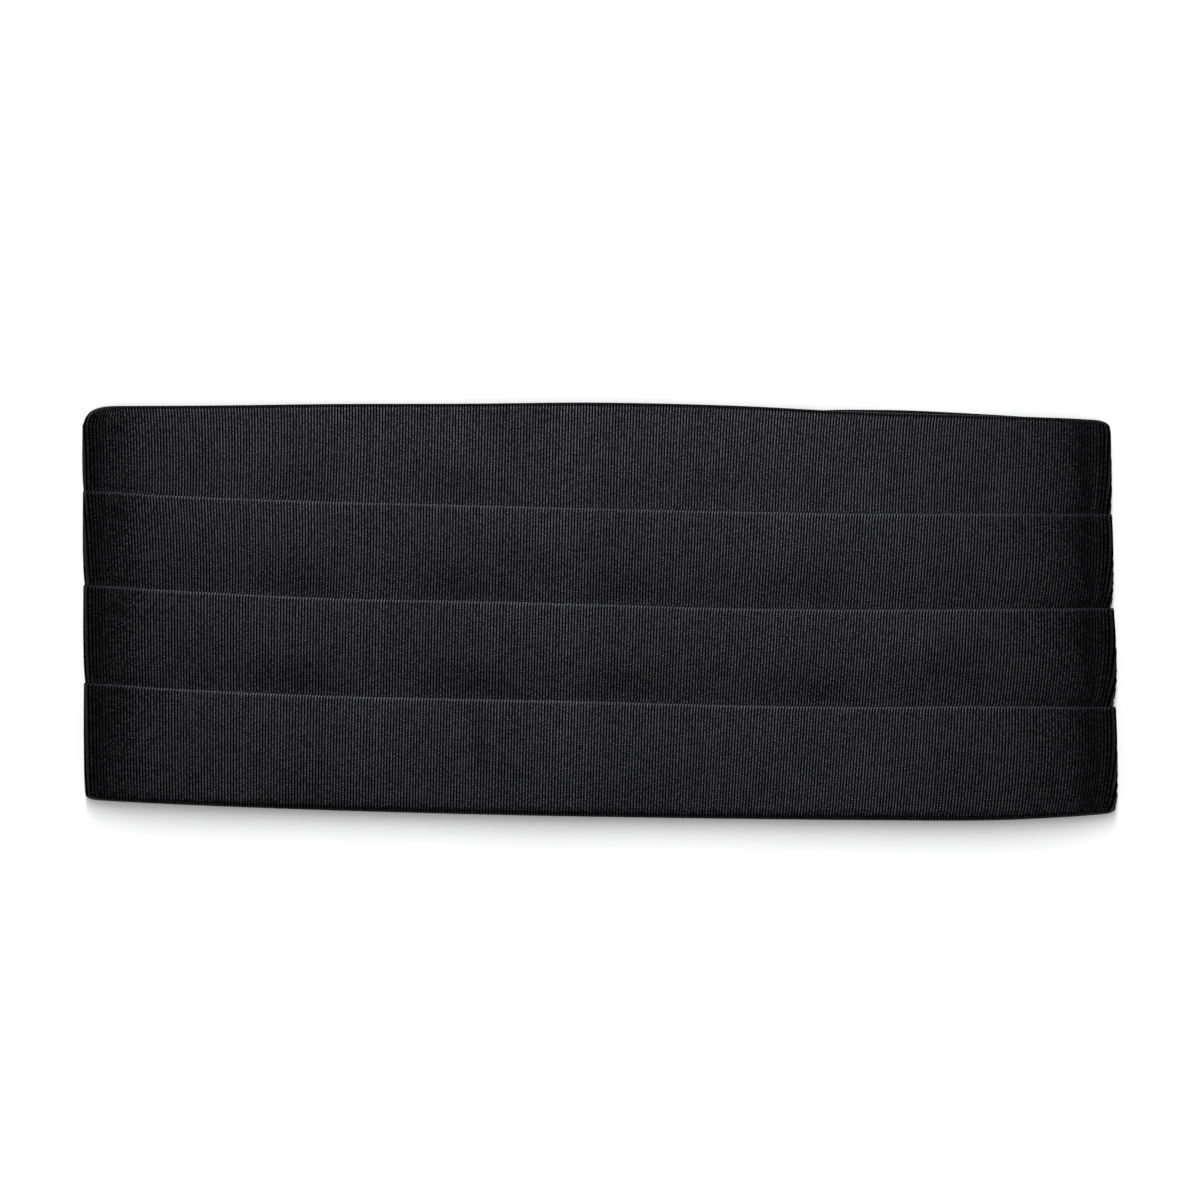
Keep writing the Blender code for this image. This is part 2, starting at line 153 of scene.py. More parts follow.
# %% A smooth curve through a table's marks
def read_across(table, column, x):
    """A column at any x: a cubic between each two marks, with the slope of their neighbours."""
    xs, ys = table["x"], table[column]
    last = len(xs) - 1
    order = np.arange(last + 1)
    low = np.maximum(order - 1, 0)
    high = np.minimum(order + 1, last)
    slopes = (ys[high] - ys[low]) / (xs[high] - xs[low])
    i = np.clip(np.searchsorted(xs, x, side="right") - 1, 0, last - 1)
    span = xs[i + 1] - xs[i]
    t = np.clip((x - xs[i]) / span, 0.0, 1.0)
    near = ys[i] * (1 + 2 * t) + slopes[i] * span * t
    far = ys[i + 1] * (3 - 2 * t) - slopes[i + 1] * span * (1 - t)
    return near * (1 - t) ** 2 + far * t**2


def behind_line(column, x):
    """An edge or a pleat's fold on an end, which keeps its share of the height at the side fold."""
    side = np.where(x < 0, LEFT_EDGE, RIGHT_EDGE)
    top, line, bottom = (read_across(FRONT, name, side) for name in ("top", column, "bottom"))
    share = (top - line) / (top - bottom)
    return read_across(BEHIND, "top", x) * (1 - share) + read_across(BEHIND, "bottom", x) * share


print("height at the middle in mm:", round(float(FRONT["top"][4] - FRONT["bottom"][4]) / MM, 1))

# %% [markdown]
# ## Corners and leaning sides
# Cloth that is folded over can't keep a sharp corner: it draws in. We treat the outline as a small
# pull on every point near a side fold, strong at the corners and fading inwards. All layers take
# the same pull, so they stay in step.

# %% How the side folds draw the cloth in
CORNERS = {"left": (6.8 * MM, 1.8 * MM), "right": (3.2 * MM, 2.2 * MM)}  # top and bottom radius
LEAN_OUT = {"left": -0.3 * MM, "right": 1.2 * MM}  # at the bottom of a side fold, and in at its top
LEAN_REACH = 60.0 * MM
CORNER_REACH = 14.0 * MM


def smoothstep(t):
    t = np.clip(t, 0.0, 1.0)
    return t * t * (3.0 - 2.0 * t)


def corner_pull(distance, radius):
    near = np.clip(radius - distance, 0.0, radius)
    return radius - np.sqrt(radius**2 - near**2)


def drawn_to_side(x, y):
    """Where a point at x comes to lie once the side folds have their outline."""
    left = x < 0
    top = read_across(FRONT, "top", x) - y
    bottom = y - read_across(FRONT, "bottom", x)
    low = (top - bottom) / (top + bottom)
    top_radius, bottom_radius = (np.where(left, *pair) for pair in zip(*CORNERS.values()))
    pull = corner_pull(top, top_radius) + corner_pull(bottom, bottom_radius)
    reach = np.where(left, LEAN_OUT["left"], LEAN_OUT["right"]) * low
    from_side = np.where(left, x - LEFT_EDGE, RIGHT_EDGE - x)
    outwards = reach * smoothstep(1 - from_side / LEAN_REACH)
    outwards = outwards - pull * smoothstep(1 - from_side / CORNER_REACH)
    return x + np.where(left, -outwards, outwards)


corner = drawn_to_side(np.array([LEFT_EDGE]), read_across(FRONT, "top", np.array([LEFT_EDGE])))
print("the upper left corner draws in by", round(float(corner[0] - LEFT_EDGE) / MM, 1), "mm")

# %% [markdown]
# ## The line that the cloth follows
# Look at the garment along +Y: every strip starts at the left end underneath, runs out to the left
# fold, comes up and over the front, and goes down round the right fold to the right end. That line
# is a few straight stretches and quarter ellipses. Sampling it once, with its length, lets us ask
# for any place by how much cloth has been used, which keeps the ribs evenly spaced round the
# folds.
#
# Beside its place, each sample keeps the direction that points out of the cloth and four shares
# from 0 to 1: how far it has turned into a side fold, how far it lies behind, how tight the rolled
# edges are pressed there, and how far the sizes of the side folds hold.

# %% One half of the line
LINE_COLUMNS = ("x", "z", "out_x", "out_z", "turned", "behind", "tight", "side")
QUARTER_SAMPLES = 48


def side_line(edge, slope, side_height, dent, inwards):
    """Rows of LINE_COLUMNS from an end underneath up to the flat front."""
    tip = edge + inwards * GUIDE_DEPTH
    rise = THICKNESS - GUIDE_DEPTH - side_height
    fall = side_height - GUIDE_DEPTH
    quarter = np.linspace(0.0, math.pi / 2, QUARTER_SAMPLES)
    ones = np.ones_like(quarter)
    x = np.linspace(-inwards * END_INSIDE, tip + inwards * LOWER_ROLL, QUARTER_SAMPLES)
    under = (x, GUIDE_DEPTH * ones, 0 * ones, -ones, ones, ones, ones, ones)
    lower = (
        tip + inwards * LOWER_ROLL * (1 - np.sin(quarter)),
        side_height - fall * np.cos(quarter),
        -inwards * np.sin(quarter) / LOWER_ROLL,
        -np.cos(quarter) / fall,
        ones,
        1 - smoothstep(quarter / quarter[-1]),
        ones,
        ones,
    )
    from_tip = 1 - smoothstep(quarter / quarter[-1])
    reach = slope * (1 - np.cos(quarter))
    sunk = dent[0] * np.exp(-(((reach - dent[1]) / dent[2]) ** 2)) * smoothstep(reach / dent[1])
    upper = (
        tip + inwards * reach,
        side_height + rise * np.sin(quarter) - sunk,
        -inwards * np.cos(quarter) / slope,
        np.sin(quarter) / rise,
        from_tip,
        0 * ones,
        from_tip,
        from_tip,
    )
    return np.concatenate([np.column_stack(part) for part in (under, lower, upper)])


print("each sample of the line has", ", ".join(LINE_COLUMNS))

# %% [markdown]
# ## Measuring the line
# The two halves are joined, and the running length is summed up along the samples. With it, any
# length of cloth can be turned into a place, and the whole length is what the maker has to cut.

# %% Join the halves and look places up
def running_length(places):
    """The length along a row of places, from 0 at the first one."""
    steps = np.linalg.norm(np.diff(places, axis=0), axis=1)
    return np.concatenate([[0.0], np.cumsum(steps)])


left_side = side_line(LEFT_EDGE, LEFT_SLOPE, LEFT_HEIGHT, LEFT_DENT, 1.0)
right_side = side_line(RIGHT_EDGE, RIGHT_SLOPE, RIGHT_HEIGHT, RIGHT_DENT, -1.0)[::-1]
LINE = np.concatenate([left_side, right_side])
LINE_LENGTH = running_length(LINE[:, :2])
CLOTH_LENGTH = LINE_LENGTH[-1]
print("a strip is", round(CLOTH_LENGTH / MM, 1), "mm long from binding to binding")


def station(along):
    """The line's columns at these lengths of cloth, by name."""
    found = {
        name: np.interp(along, LINE_LENGTH, LINE[:, i]) for i, name in enumerate(LINE_COLUMNS)
    }
    size = np.hypot(found["out_x"], found["out_z"])
    found["out_x"] = found["out_x"] / size
    found["out_z"] = found["out_z"] / size
    return found


def by_side(values, at):
    """A size that differs on the front, at the left fold and at the right fold."""
    side = np.where(at["x"] < 0, values["left"], values["right"])
    return values["front"] + (side - values["front"]) * at["side"]


walls = by_side(SHELL, station(np.array([0.0, CLOTH_LENGTH / 2, CLOTH_LENGTH])))
print("a strip's thickness at its ends and in the middle:", [round(w / MM, 2) for w in walls])

# %% [markdown]
# ## Ribs
# The silk is a ribbed weave: stout threads lie side by side under fine ones, so the surface is a
# row of small cords, a little under a millimetre apart. They could be a bump texture, but they
# show on the outline and at every fold, so they are real geometry: the grid's columns follow the
# ribs, four to each. The groove between two ribs is a crease, and the rest of a rib is round.
#
# The ribs lean a few degrees as the cloth is pulled about. The lean was judged on the upper and
# the lower half of each strip, and it is stronger and more curved towards the right fold.

# %% Rib sizes and their lean
RIB_PITCH = 0.893 * MM
RIB_DEPTH = 0.04 * MM
RIB_PLACES = (0.0, 0.2, 0.5, 0.8)  # the groove, a flank, the crest and the other flank
RIB_GROOVE = (1.0, 0.2, 0.0, 0.2)  # how deep the cloth is sunk at those places
RIB_UNEVEN = 0.05  # a rib is this share wider or narrower than its neighbours
RIB_DEPTHS = (0.8, 1.1)  # and its groove lies between these shares of RIB_DEPTH
NOSE_SLANT = 0.6 * MM  # over the nose of a pleat the ribs run on at a slant
RIB_COUNT = int(round(CLOTH_LENGTH / RIB_PITCH))
chance = np.random.default_rng(4)

LEAN = columns(
    ("x", "top_upper", "top_lower", "fold_2_upper", "fold_2_lower", "other_upper", "other_lower"),
    (
        (-150.0, -2.7, -0.3, -3.3, -2.0, -0.5, -0.8),
        (-120.0, -1.7, 1.0, -2.3, -0.3, 0.3, -0.2),
        (-78.0, 0.7, 2.3, 0.0, 2.3, 1.3, 1.0),
        (0.0, 1.7, 1.3, 1.8, 1.6, 1.7, 1.8),
        (60.0, 4.0, 3.3, 3.4, 4.2, 3.7, 4.1),
        (100.0, 4.3, 2.9, 3.8, 4.5, 3.8, 4.9),
        (128.0, 2.9, 3.6, 1.6, 6.2, 1.8, 6.0),
        (150.0, 1.6, 4.9, 0.0, 7.7, 0.5, 8.2),
    ),
    unit=1.0,
)
print(RIB_COUNT, "ribs round each strip")

# %% [markdown]
# ## Where the ribs run
# No two threads are equally stout, so each rib gets its own width and its own groove. The numbers
# come from one seeded generator, which makes them the same on every run. The lean is summed up
# down the strip, from the slopes of its upper and its lower half.

# %% Columns of the grid
def rib_columns():
    """For each grid column: its length of cloth, its groove's depth and its place by count."""
    widths = 1 + RIB_UNEVEN * chance.uniform(-1, 1, RIB_COUNT)
    edges = np.concatenate([[0.0], np.cumsum(widths)]) * CLOTH_LENGTH / widths.sum()
    along = edges[:-1, None] + np.diff(edges)[:, None] * np.array(RIB_PLACES)
    depth = chance.uniform(*RIB_DEPTHS, RIB_COUNT)[:, None] * np.array(RIB_GROOVE)
    counted = (np.arange(RIB_COUNT)[:, None] + np.array(RIB_PLACES)) * RIB_PITCH
    return (
        np.append(along.ravel(), CLOTH_LENGTH),
        np.append(depth.ravel(), 1.0),
        np.append(counted.ravel(), RIB_COUNT * RIB_PITCH),
    )


def lean_shift(top_column, at, share, height):
    """How far a rib has moved along the cloth, this share of the way down its strip."""
    name = top_column if top_column in ("top", "fold_2") else "other"
    upper = np.radians(read_across(LEAN, name + "_upper", at["x"]))
    lower = np.radians(read_across(LEAN, name + "_lower", at["x"]))
    change = 2 * (lower - upper)
    start = upper - change / 4
    return -height * (start * share + change * share**2 / 2) * (1 - at["behind"])


column_along, column_groove, column_count = rib_columns()
print(len(column_along), "grid columns")

# %% [markdown]
# ## Soft creases
# Pressed silk still isn't a plane. Here and there it sags over the layers underneath or stands off
# them by a fraction of a millimetre. Each crease is listed: the strip it is on, its
# place, its width, its depth and the stretch of the strip that it crosses.

# %% Creases listed one by one
CREASES = (
    # strip, place along, half width, height, from and to as shares of the way down
    (0, -94.0, 11.0, -0.3, 0.6, 1.4),
    (0, -45.0, 12.0, -0.3, 0.6, 1.4),
    (0, -38.0, 9.0, -0.3, -0.1, 0.5),
    (0, 9.0, 10.0, -0.22, 0.6, 1.4),
    (0, 37.0, 16.0, 0.26, 0.0, 0.9),
    (0, 67.0, 8.0, -0.2, 0.5, 1.4),
    (0, 118.0, 4.0, -0.12, 0.4, 1.1),
    (1, -94.0, 11.0, -0.38, 0.6, 1.4),
    (1, -46.0, 12.0, -0.3, 0.6, 1.4),
    (1, -18.0, 12.0, 0.2, 0.0, 0.8),
    (1, 9.0, 12.0, -0.4, 0.6, 1.4),
    (1, 64.0, 15.0, -0.34, 0.5, 1.4),
    (2, -95.0, 12.0, -0.42, 0.6, 1.4),
    (2, -40.0, 12.0, -0.34, 0.6, 1.4),
    (2, 8.0, 12.0, -0.4, 0.6, 1.4),
    (2, 66.0, 16.0, -0.38, 0.6, 1.4),
    (2, 100.0, 15.0, 0.32, 0.0, 0.8),
    (3, -94.0, 11.0, -0.16, 0.6, 1.4),
    (3, -38.5, 3.6, -0.28, 0.0, 0.85),
    (3, 10.0, 12.0, -0.2, 0.6, 1.3),
    (3, 70.0, 14.0, -0.14, 0.1, 0.9),
    (3, 138.0, 7.0, -0.3, 0.4, 1.2),
)
print(len(CREASES), "creases on the front")

# %% [markdown]
# ## A slow wave, and creases behind
# One slow wave runs through all four strips of the front, where they lie over the hidden ends. The
# ends have creases of their own, which only sink inwards, because the underside rests on the table.

# %% The wave and the creases behind
WAVE = columns(
    ("x", "height"),
    (
        (-157.0, 0.0),
        (-140.0, 0.0),
        (-119.0, 0.06),
        (-92.0, -0.28),
        (-60.0, -0.6),
        (-38.0, -0.28),
        (-11.0, 0.08),
        (8.0, -0.26),
        (35.0, -0.6),
        (66.0, -0.22),
        (95.0, 0.1),
        (125.0, 0.0),
        (157.0, 0.0),
    ),
)
CREASES_BEHIND = (
    (0, -128.0, 7.0, -0.3, 0.1, 0.9),
    (0, -70.0, 5.0, -0.2, 0.3, 1.0),
    (0, 92.0, 9.0, -0.32, 0.0, 0.8),
    (1, -104.0, 6.0, -0.26, 0.35, 1.1),
    (1, 58.0, 4.0, -0.2, 0.4, 1.0),
    (1, 121.0, 8.0, -0.3, 0.35, 1.2),
    (2, -136.0, 5.0, -0.24, 0.35, 1.0),
    (2, -63.0, 8.0, -0.28, 0.4, 1.1),
    (2, 84.0, 5.0, -0.3, 0.35, 1.0),
    (3, -98.0, 10.0, -0.3, 0.35, 1.0),
    (3, 66.0, 6.0, -0.22, 0.4, 1.0),
    (3, 132.0, 5.0, -0.26, 0.35, 0.9),
)


def crease_height(creases, strip, x, share):
    total = 0.0
    for crease_strip, place, half_width, height, start, end in creases:
        if crease_strip == strip:
            across = np.exp(-(((x / MM - place) / half_width) ** 2))
            middle = np.clip((share - start) / (end - start), 0.0, 1.0)
            total = total + height * MM * across * np.sin(math.pi * middle) ** 2
    return total


print("the wave sinks", round(-float(WAVE["height"].min()) / MM, 1), "mm at most")

# %% [markdown]
# ## One strip in section
# Cut a strip across and you see a flat loop. It goes up the outer face from where it is tucked
# under the next strip, over the fold at the top, and down the inner face. The top strip and the
# bottom strip have a rolled edge instead, which turns right round to a narrow hem. A section is a
# list of named points, and the same list serves every column of the grid.

# %% The points of a section by name
OUTER_SHARES = (1.0, 0.96, 0.9, 0.82, 0.73, 0.63, 0.53, 0.43, 0.33, 0.23, 0.13, 0.07)
INNER_SHARES = (0.2, 0.6, 1.0)
NOSE_ANGLES = (90, 72, 52, 30, 6, -25, -60, -90)
ROLL_ANGLES = (90, 68, 46, 24, 0, -30, -60, -90)
INNER_ANGLES = (-90, -30, 30, 90)


def section_points(first, last):
    """(kind, value) for each point, up the outer face and down the inner one."""
    outer = [("outer", share) for share in OUTER_SHARES]
    inner = [("inner", share) for share in INNER_SHARES]
    if first:
        head = [("top roll", angle) for angle in ROLL_ANGLES] + [("top hem", 0), ("top hem", 1)]
        head += [("top roll inside", angle) for angle in INNER_ANGLES]
    else:
        head = [("nose", angle) for angle in NOSE_ANGLES]
    if last:
        foot = [("bottom roll inside", -angle) for angle in INNER_ANGLES]
        foot += [("bottom hem", 1), ("bottom hem", 0)]
        foot += [("bottom roll", angle) for angle in ROLL_ANGLES[::-1]]
        return outer[2:] + head + inner[:-1] + foot
    return [("tuck", 0)] + outer + head + inner + [("tuck", 1)]


print("a middle strip's section has", len(section_points(False, False)), "points")

# %% [markdown]
# ## The swell of a strip
# The height of the outer face decides how a strip takes the light, so it has its own function. It
# starts at the fold, comes down along a power curve, and adds the swell of the side fold, the
# creases and the wave. The inner face is the same curve, one wall further in.

# %% Height of the outer face
FRONT_CURVE = 1.8  # how a strip comes down to the next fold: 1 would be a straight slope
SIDE_CURVE = 8.0
TOP_DROP = 0.5  # the top strip comes down less, as a share of DROP
SWELL_FOCUS = 4  # a higher power keeps the swell nearer to the tip of a side fold
SWELL_LOW = 1.3  # and this one moves its middle down the strip


def outer_height(strip, at, share):
    """How far the outer face lies outside the line."""
    fold = GUIDE_DEPTH
    if strip == 0:
        at_tip = at["turned"] * (1 - at["behind"])
        fold = TOP_STRIP_DEPTH + (GUIDE_DEPTH - TOP_STRIP_DEPTH) * at_tip
    drop = by_side(DROP, at) * (TOP_DROP if strip == 0 else 1.0)
    curve = FRONT_CURVE + (SIDE_CURVE - FRONT_CURVE) * at["turned"]
    swell = np.where(at["x"] < 0, SWELL["left"][strip], SWELL["right"][strip]) * MM
    swell = swell * at["out_x"] ** SWELL_FOCUS
    swell = swell * np.sin(math.pi * np.clip(share, 0, 1) ** SWELL_LOW)
    crease = crease_height(CREASES, strip, at["x"], share) * (1 - at["turned"])
    crease = crease + read_across(WAVE, "height", at["x"]) * (1 - at["turned"])
    crease = crease + crease_height(CREASES_BEHIND, strip, at["x"], share) * at["behind"]
    return fold - drop * np.clip(share, 0, 1) ** curve + swell + crease


middle_of_front = station(np.array([CLOTH_LENGTH / 2]))
step = outer_height(1, middle_of_front, 0.0) - outer_height(1, middle_of_front, 1.0)
print("a strip comes down by", round(float(step[0]) / MM, 2), "mm in the middle")

# %% [markdown]
# ## From names to places
# Now each named point of the section gets its place: y across the garment and its height over the
# line. Folds are half ellipses, and a rolled edge is a circle whose lower half is pressed flat
# where the garment is folded behind.

# %% Places of the section's points
LEAST_ROLL = 0.1 * MM  # the inside of a pressed roll is never flatter than this


def roll_point(edge, up, height, at, angle, wall):
    """A point on a rolled edge, whose lower half is pressed flat where "tight" is 1."""
    angle = math.radians(angle)
    below = EDGE_ROLL + (ROLL_PRESSED - EDGE_ROLL) * at["tight"]
    depth = EDGE_ROLL if angle > 0 else below
    deep = np.maximum(depth - wall, LEAST_ROLL)
    y = edge + up * ((EDGE_ROLL - wall) * math.cos(angle) - EDGE_ROLL)
    return y, height - EDGE_ROLL + deep * math.sin(angle)


def section_point(strip, kind, value, at, top, bottom):
    """One point of the section at every station: (y, height over the line)."""
    wall = by_side(SHELL, at)
    height = top - bottom
    if kind in ("outer", "inner"):
        y = top - height * value
        return y, outer_height(strip, at, value) - (wall if kind == "inner" else 0.0)
    if kind == "tuck":
        return bottom - TUCK, outer_height(strip, at, 1.0) - wall * value
    if kind == "nose":
        angle = math.radians(value)
        y = top - NOSE_REACH * (1 - math.cos(angle))
        return y, outer_height(strip, at, 0.0) - wall / 2 * (1 - math.sin(angle))
    edge, up = (top, 1.0) if kind.startswith("top") else (bottom, -1.0)
    share = EDGE_ROLL / height if up > 0 else 1 - EDGE_ROLL / height
    face = outer_height(strip, at, share)
    if kind.endswith("hem"):
        y, low = roll_point(edge, up, face, at, -90, wall * value)
        return y - up * HEM, low
    return roll_point(edge, up, face, at, value, wall if kind.endswith("inside") else 0.0)


nose = section_point(1, "nose", 90, middle_of_front, np.array([0.0]), np.array([-0.03]))
print("a fold begins", round(-float(nose[0][0]) / MM, 2), "mm below a strip's upper line")

# %% [markdown]
# ## Painted highlights on folds, painted shade on rolls
# The nose of each fold gets a painted highlight, a lighter grey in its colour, and the rolled
# edges and hems get painted shade, which takes their shine off so that they go black. Both follow
# the section, so each of its points gets a number: 1 for the full painted highlight, 0 for the
# plain weave, and down to -1 for full painted shade. It is stored on the mesh, and the material
# reads it.

# %% Painted light over a section
INSIDE = ("inner", "top roll inside", "bottom roll inside")
RIBBED = ("outer", "nose", "tuck", "top roll", "bottom roll")
# a fold's painted highlight by angle: how much lighter grey its colour takes
FOLD_PAINTED_HIGHLIGHT = {72: 0.25, 52: 0.7, 30: 1.0, 6: 1.0, -25: 0.4}  # how polished a fold is, by angle
# painted shade: shine taken off the rolled edges, the tips of the side folds and the hems
PAINTED_SHADE = {"roll": 0.92, "tip": 0.95, "hem": 0.85}  # shine lost where the cloth is bent hard
TIP_FROM = 0.94  # the tip of a side fold, as a share of its turn


def section_painted_light(kind, value):
    if kind == "nose":
        return FOLD_PAINTED_HIGHLIGHT.get(value, 0.0)
    if kind.endswith("roll") and value > 0:
        return -PAINTED_SHADE["roll"] * math.sqrt(1 - math.sin(math.radians(value)))
    return -PAINTED_SHADE["hem"] if "roll" in kind or "hem" in kind else 0.0


print("shine over a fold:", [section_painted_light("nose", angle) for angle in NOSE_ANGLES])

# %% [markdown]
# ## From grid to cloth
# `create_grid` makes all vertices and faces of a strip as a flat unit square, together with a UV
# map. We then move each vertex to its place on the garment. The grid's left-right direction is the
# length of cloth, and its up-down direction goes once round the section, so the last row meets the
# first one. The UV map keeps the cloth's own measure in metres, so that the weave in the material
# follows every rib, however it leans or folds.

# %% Helpers that shape a grid
def mesh_from(bm, name):
    """A new mesh from a bmesh, which is then freed."""
    mesh = bpy.data.meshes.new(name)
    bm.to_mesh(mesh)
    bm.free()
    return mesh


def grid_mesh(name, points, uvs):
    """A grid with vertex (i, j) at points[j, i], and uvs[j, i] in a UV map called cloth."""
    rows, cols = points.shape[:2]
    bm = bmesh.new()
    bm.loops.layers.uv.new("cloth")
    bmesh.ops.create_grid(bm, x_segments=cols - 1, y_segments=rows - 1, size=0.5, calc_uvs=True)
    mesh = mesh_from(bm, name)
    flat = np.empty(len(mesh.vertices) * 3, np.float32)
    mesh.vertices.foreach_get("co", flat)
    flat = flat.reshape(-1, 3)
    i = np.rint((flat[:, 0] + 0.5) * (cols - 1)).astype(int)
    j = np.rint((flat[:, 1] + 0.5) * (rows - 1)).astype(int)
    mesh.vertices.foreach_set("co", points[j, i].astype(np.float32).ravel())
    corner = np.empty(len(mesh.loops), np.int32)
    mesh.loops.foreach_get("vertex_index", corner)
    corner_uvs = uvs[j[corner], i[corner]].astype(np.float32)
    mesh.uv_layers["cloth"].data.foreach_set("uv", corner_uvs.ravel())
    return mesh


def mark_points(mesh, name, values):
    """Stores values[j, i] on the vertices of a grid, which create_grid numbers row by row."""
    marks = mesh.attributes.new(name, "FLOAT", "POINT")
    marks.data.foreach_set("value", values.astype(np.float32).ravel())


print("helpers: mesh_from, grid_mesh, mark_points")

# %% [markdown]
# ## Closing and adding
# `remove_doubles` joins a tube's last row to its first, and `holes_fill` closes its two ends.
# Smooth shading hides the facets, but folds that are sharper than a given angle keep their edge.

# %% Helpers that close and add
MERGE = 0.002 * MM  # points nearer than this become one


def close_tube(mesh):
    """Joins a grid's last row to its first one and fills the two open ends."""
    bm = bmesh.new()
    bm.from_mesh(mesh)
    bmesh.ops.remove_doubles(bm, verts=bm.verts, dist=MERGE)
    bmesh.ops.holes_fill(bm, edges=[edge for edge in bm.edges if edge.is_boundary])
    bmesh.ops.recalc_face_normals(bm, faces=bm.faces)
    bm.to_mesh(mesh)
    bm.free()


def add_object(name, data):
    """An object in the scene. What it shows is in its data: a mesh, a light or a camera."""
    made = bpy.data.objects.new(name, data)
    bpy.context.scene.collection.objects.link(made)
    return made


def add_piece(mesh, sharp_above):
    mesh.shade_smooth()
    mesh.set_sharp_from_angle(angle=math.radians(sharp_above))
    triangles = sum(len(face.vertices) - 2 for face in mesh.polygons)
    print(mesh.name, "has", triangles, "triangles")
    return add_object(mesh.name, mesh)


print("helpers: close_tube, add_object, add_piece")

# %% [markdown]
# ## The four strips
# Now the parts come together. For each point of the section we take the columns' lengths of cloth,
# move them along by the ribs' lean, look up the stations, and place the point. Then the ribs are
# pressed in: every point of the outer face moves inwards by its groove, square to the section.

# %% Rows of a strip
def strip_lines(top_column, bottom_column, at):
    """The strip's upper and lower line at each station, from the front's marks to the ends'."""
    lines = []
    for column in (top_column, bottom_column):
        front = read_across(FRONT, column, at["x"])
        lines.append(front + (behind_line(column, at["x"]) - front) * at["behind"])
    return lines


def strip_rows(strip, top_column, bottom_column):
    """For each section point: stations, y, height, whether it is ribbed, its name and its painted
    light.
    """
    rows = []
    for kind, value in section_points(strip == 0, strip == len(STRIPS) - 1):
        share = value if kind in ("outer", "inner") else float(kind.startswith(("tuck", "bottom")))
        at = station(column_along)
        top, bottom = strip_lines(top_column, bottom_column, at)
        shift = lean_shift(top_column, at, share, top - bottom)
        if kind == "nose":
            shift = shift + NOSE_SLANT * (1 - math.sin(math.radians(value)))
        at = station(column_along + shift)
        top, bottom = strip_lines(top_column, bottom_column, at)
        y, height = section_point(strip, kind, value, at, top, bottom)
        # painted shade on the tips of the side folds
        at_tip = smoothstep((at["turned"] - TIP_FROM) / (1 - TIP_FROM)) * (1 - at["behind"])
        painted_light = section_painted_light(kind, value)
        painted_light = painted_light + (-PAINTED_SHADE["tip"] - painted_light) * at_tip
        rows.append((at, y, height, 1.0 if kind in RIBBED else 0.0, kind, painted_light))
    return rows


print("rows of the top strip:", len(strip_rows(0, *STRIPS[0][2:])))

# %% [markdown]
# ## Rows become a mesh
# Each row of places becomes one row of the grid. The groove's direction comes from the neighbours
# in the section, so the ribs stay square to the cloth round every fold. The width of cloth up to
# the first point inside is kept, as the size that the sheet was cut to.

# %% Make the ribbed strips
STRIP_SHARP = 50  # degrees


def make_strip(strip, name, top_column, bottom_column):
    rows = strip_rows(strip, top_column, bottom_column)
    y = np.array([row[1] for row in rows])
    height = np.array([row[2] for row in rows])
    along_y = np.roll(y, -1, axis=0) - np.roll(y, 1, axis=0)
    along_h = np.roll(height, -1, axis=0) - np.roll(height, 1, axis=0)
    length = np.hypot(along_y, along_h)
    sunk = RIB_DEPTH * column_groove * np.array([row[3] for row in rows])[:, None]
    y = y + sunk * along_h / length
    height = height - sunk * along_y / length
    points = []
    for (at, *_), row_y, row_height in zip(rows, y, height):
        x = drawn_to_side(at["x"] + at["out_x"] * row_height, row_y)
        points.append(np.column_stack((x, row_y, at["z"] + at["out_z"] * row_height)))
    points.append(points[0])
    points = np.array(points)
    middle = points.shape[1] // 2
    v = running_length(points[:, middle])
    uvs = np.stack(np.broadcast_arrays(column_count[None, :], v[:, None]), axis=-1)
    mesh = grid_mesh(name, points, uvs)
    mark_points(mesh, "painted_light", np.array([row[5] for row in rows] + [rows[0][5]]))
    close_tube(mesh)
    half_way = next(j for j, row in enumerate(rows) if row[4] in INSIDE)
    return add_piece(mesh, STRIP_SHARP), float(v[half_way])


strips = []
strip_widths = []
for number, (name, node, top_column, bottom_column) in enumerate(STRIPS):
    piece, width = make_strip(number, name, top_column, bottom_column)
    strip_widths.append(width)
    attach(piece, "root")
    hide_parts(node)
    strips.append(piece)
print("their outer faces are", [round(width / MM, 1) for width in strip_widths], "mm wide")

# %% [markdown]
# ## The lining
# The inside of a cummerbund is finished with one smooth sheet of satin, from binding to binding.
# It lies a little inside the rolled edges. When the ends are folded behind, the lining folds on
# itself, face to face, and between the two ends it sags onto the strap. We give its line as a
# handful of marks, seen along +Y, with a tight turn at each side fold. A Solidify modifier gives
# the thickness.

# %% Sizes of the lining
LINING_THICKNESS = 0.4 * MM
LINING_INSET = 2.6 * MM
LINING_STEP = 2.0 * MM
LINING_ROWS = 46
LINING_SHARP = 60  # degrees
GAP_HALF = 50.0 * MM  # half the gap between the two ends, and the fade beside it
GAP_FADE = 16.0 * MM
SAG_WIDTH = 14.0 * MM  # from a long edge to where the lining has sunk onto the strap
EDGE_HEIGHT = 5.85 * MM  # of the lining's edge between the two ends
LINING_LINE = (
    # x, z, behind: from the binding out to the side fold, and back along the front to the middle
    (36.0, 2.7, 1.0),
    (40.5, 2.9, 1.0),
    (47.0, 4.1, 1.0),
    (54.0, 4.75, 1.0),
    (144.0, 4.75, 1.0),
    (145.4, 4.9, 0.7),
    (145.8, 5.3, 0.5),
    (145.4, 5.7, 0.3),
    (144.0, 5.85, 0.0),
    (50.0, 5.85, 0.0),
    (42.0, 5.4, 0.0),
    (34.0, 4.3, 0.0),
    (27.0, 3.95, 0.0),
    (0.0, 3.9, 0.0),
)
LINING_TURN = 6  # the mark in the middle of the tight turn
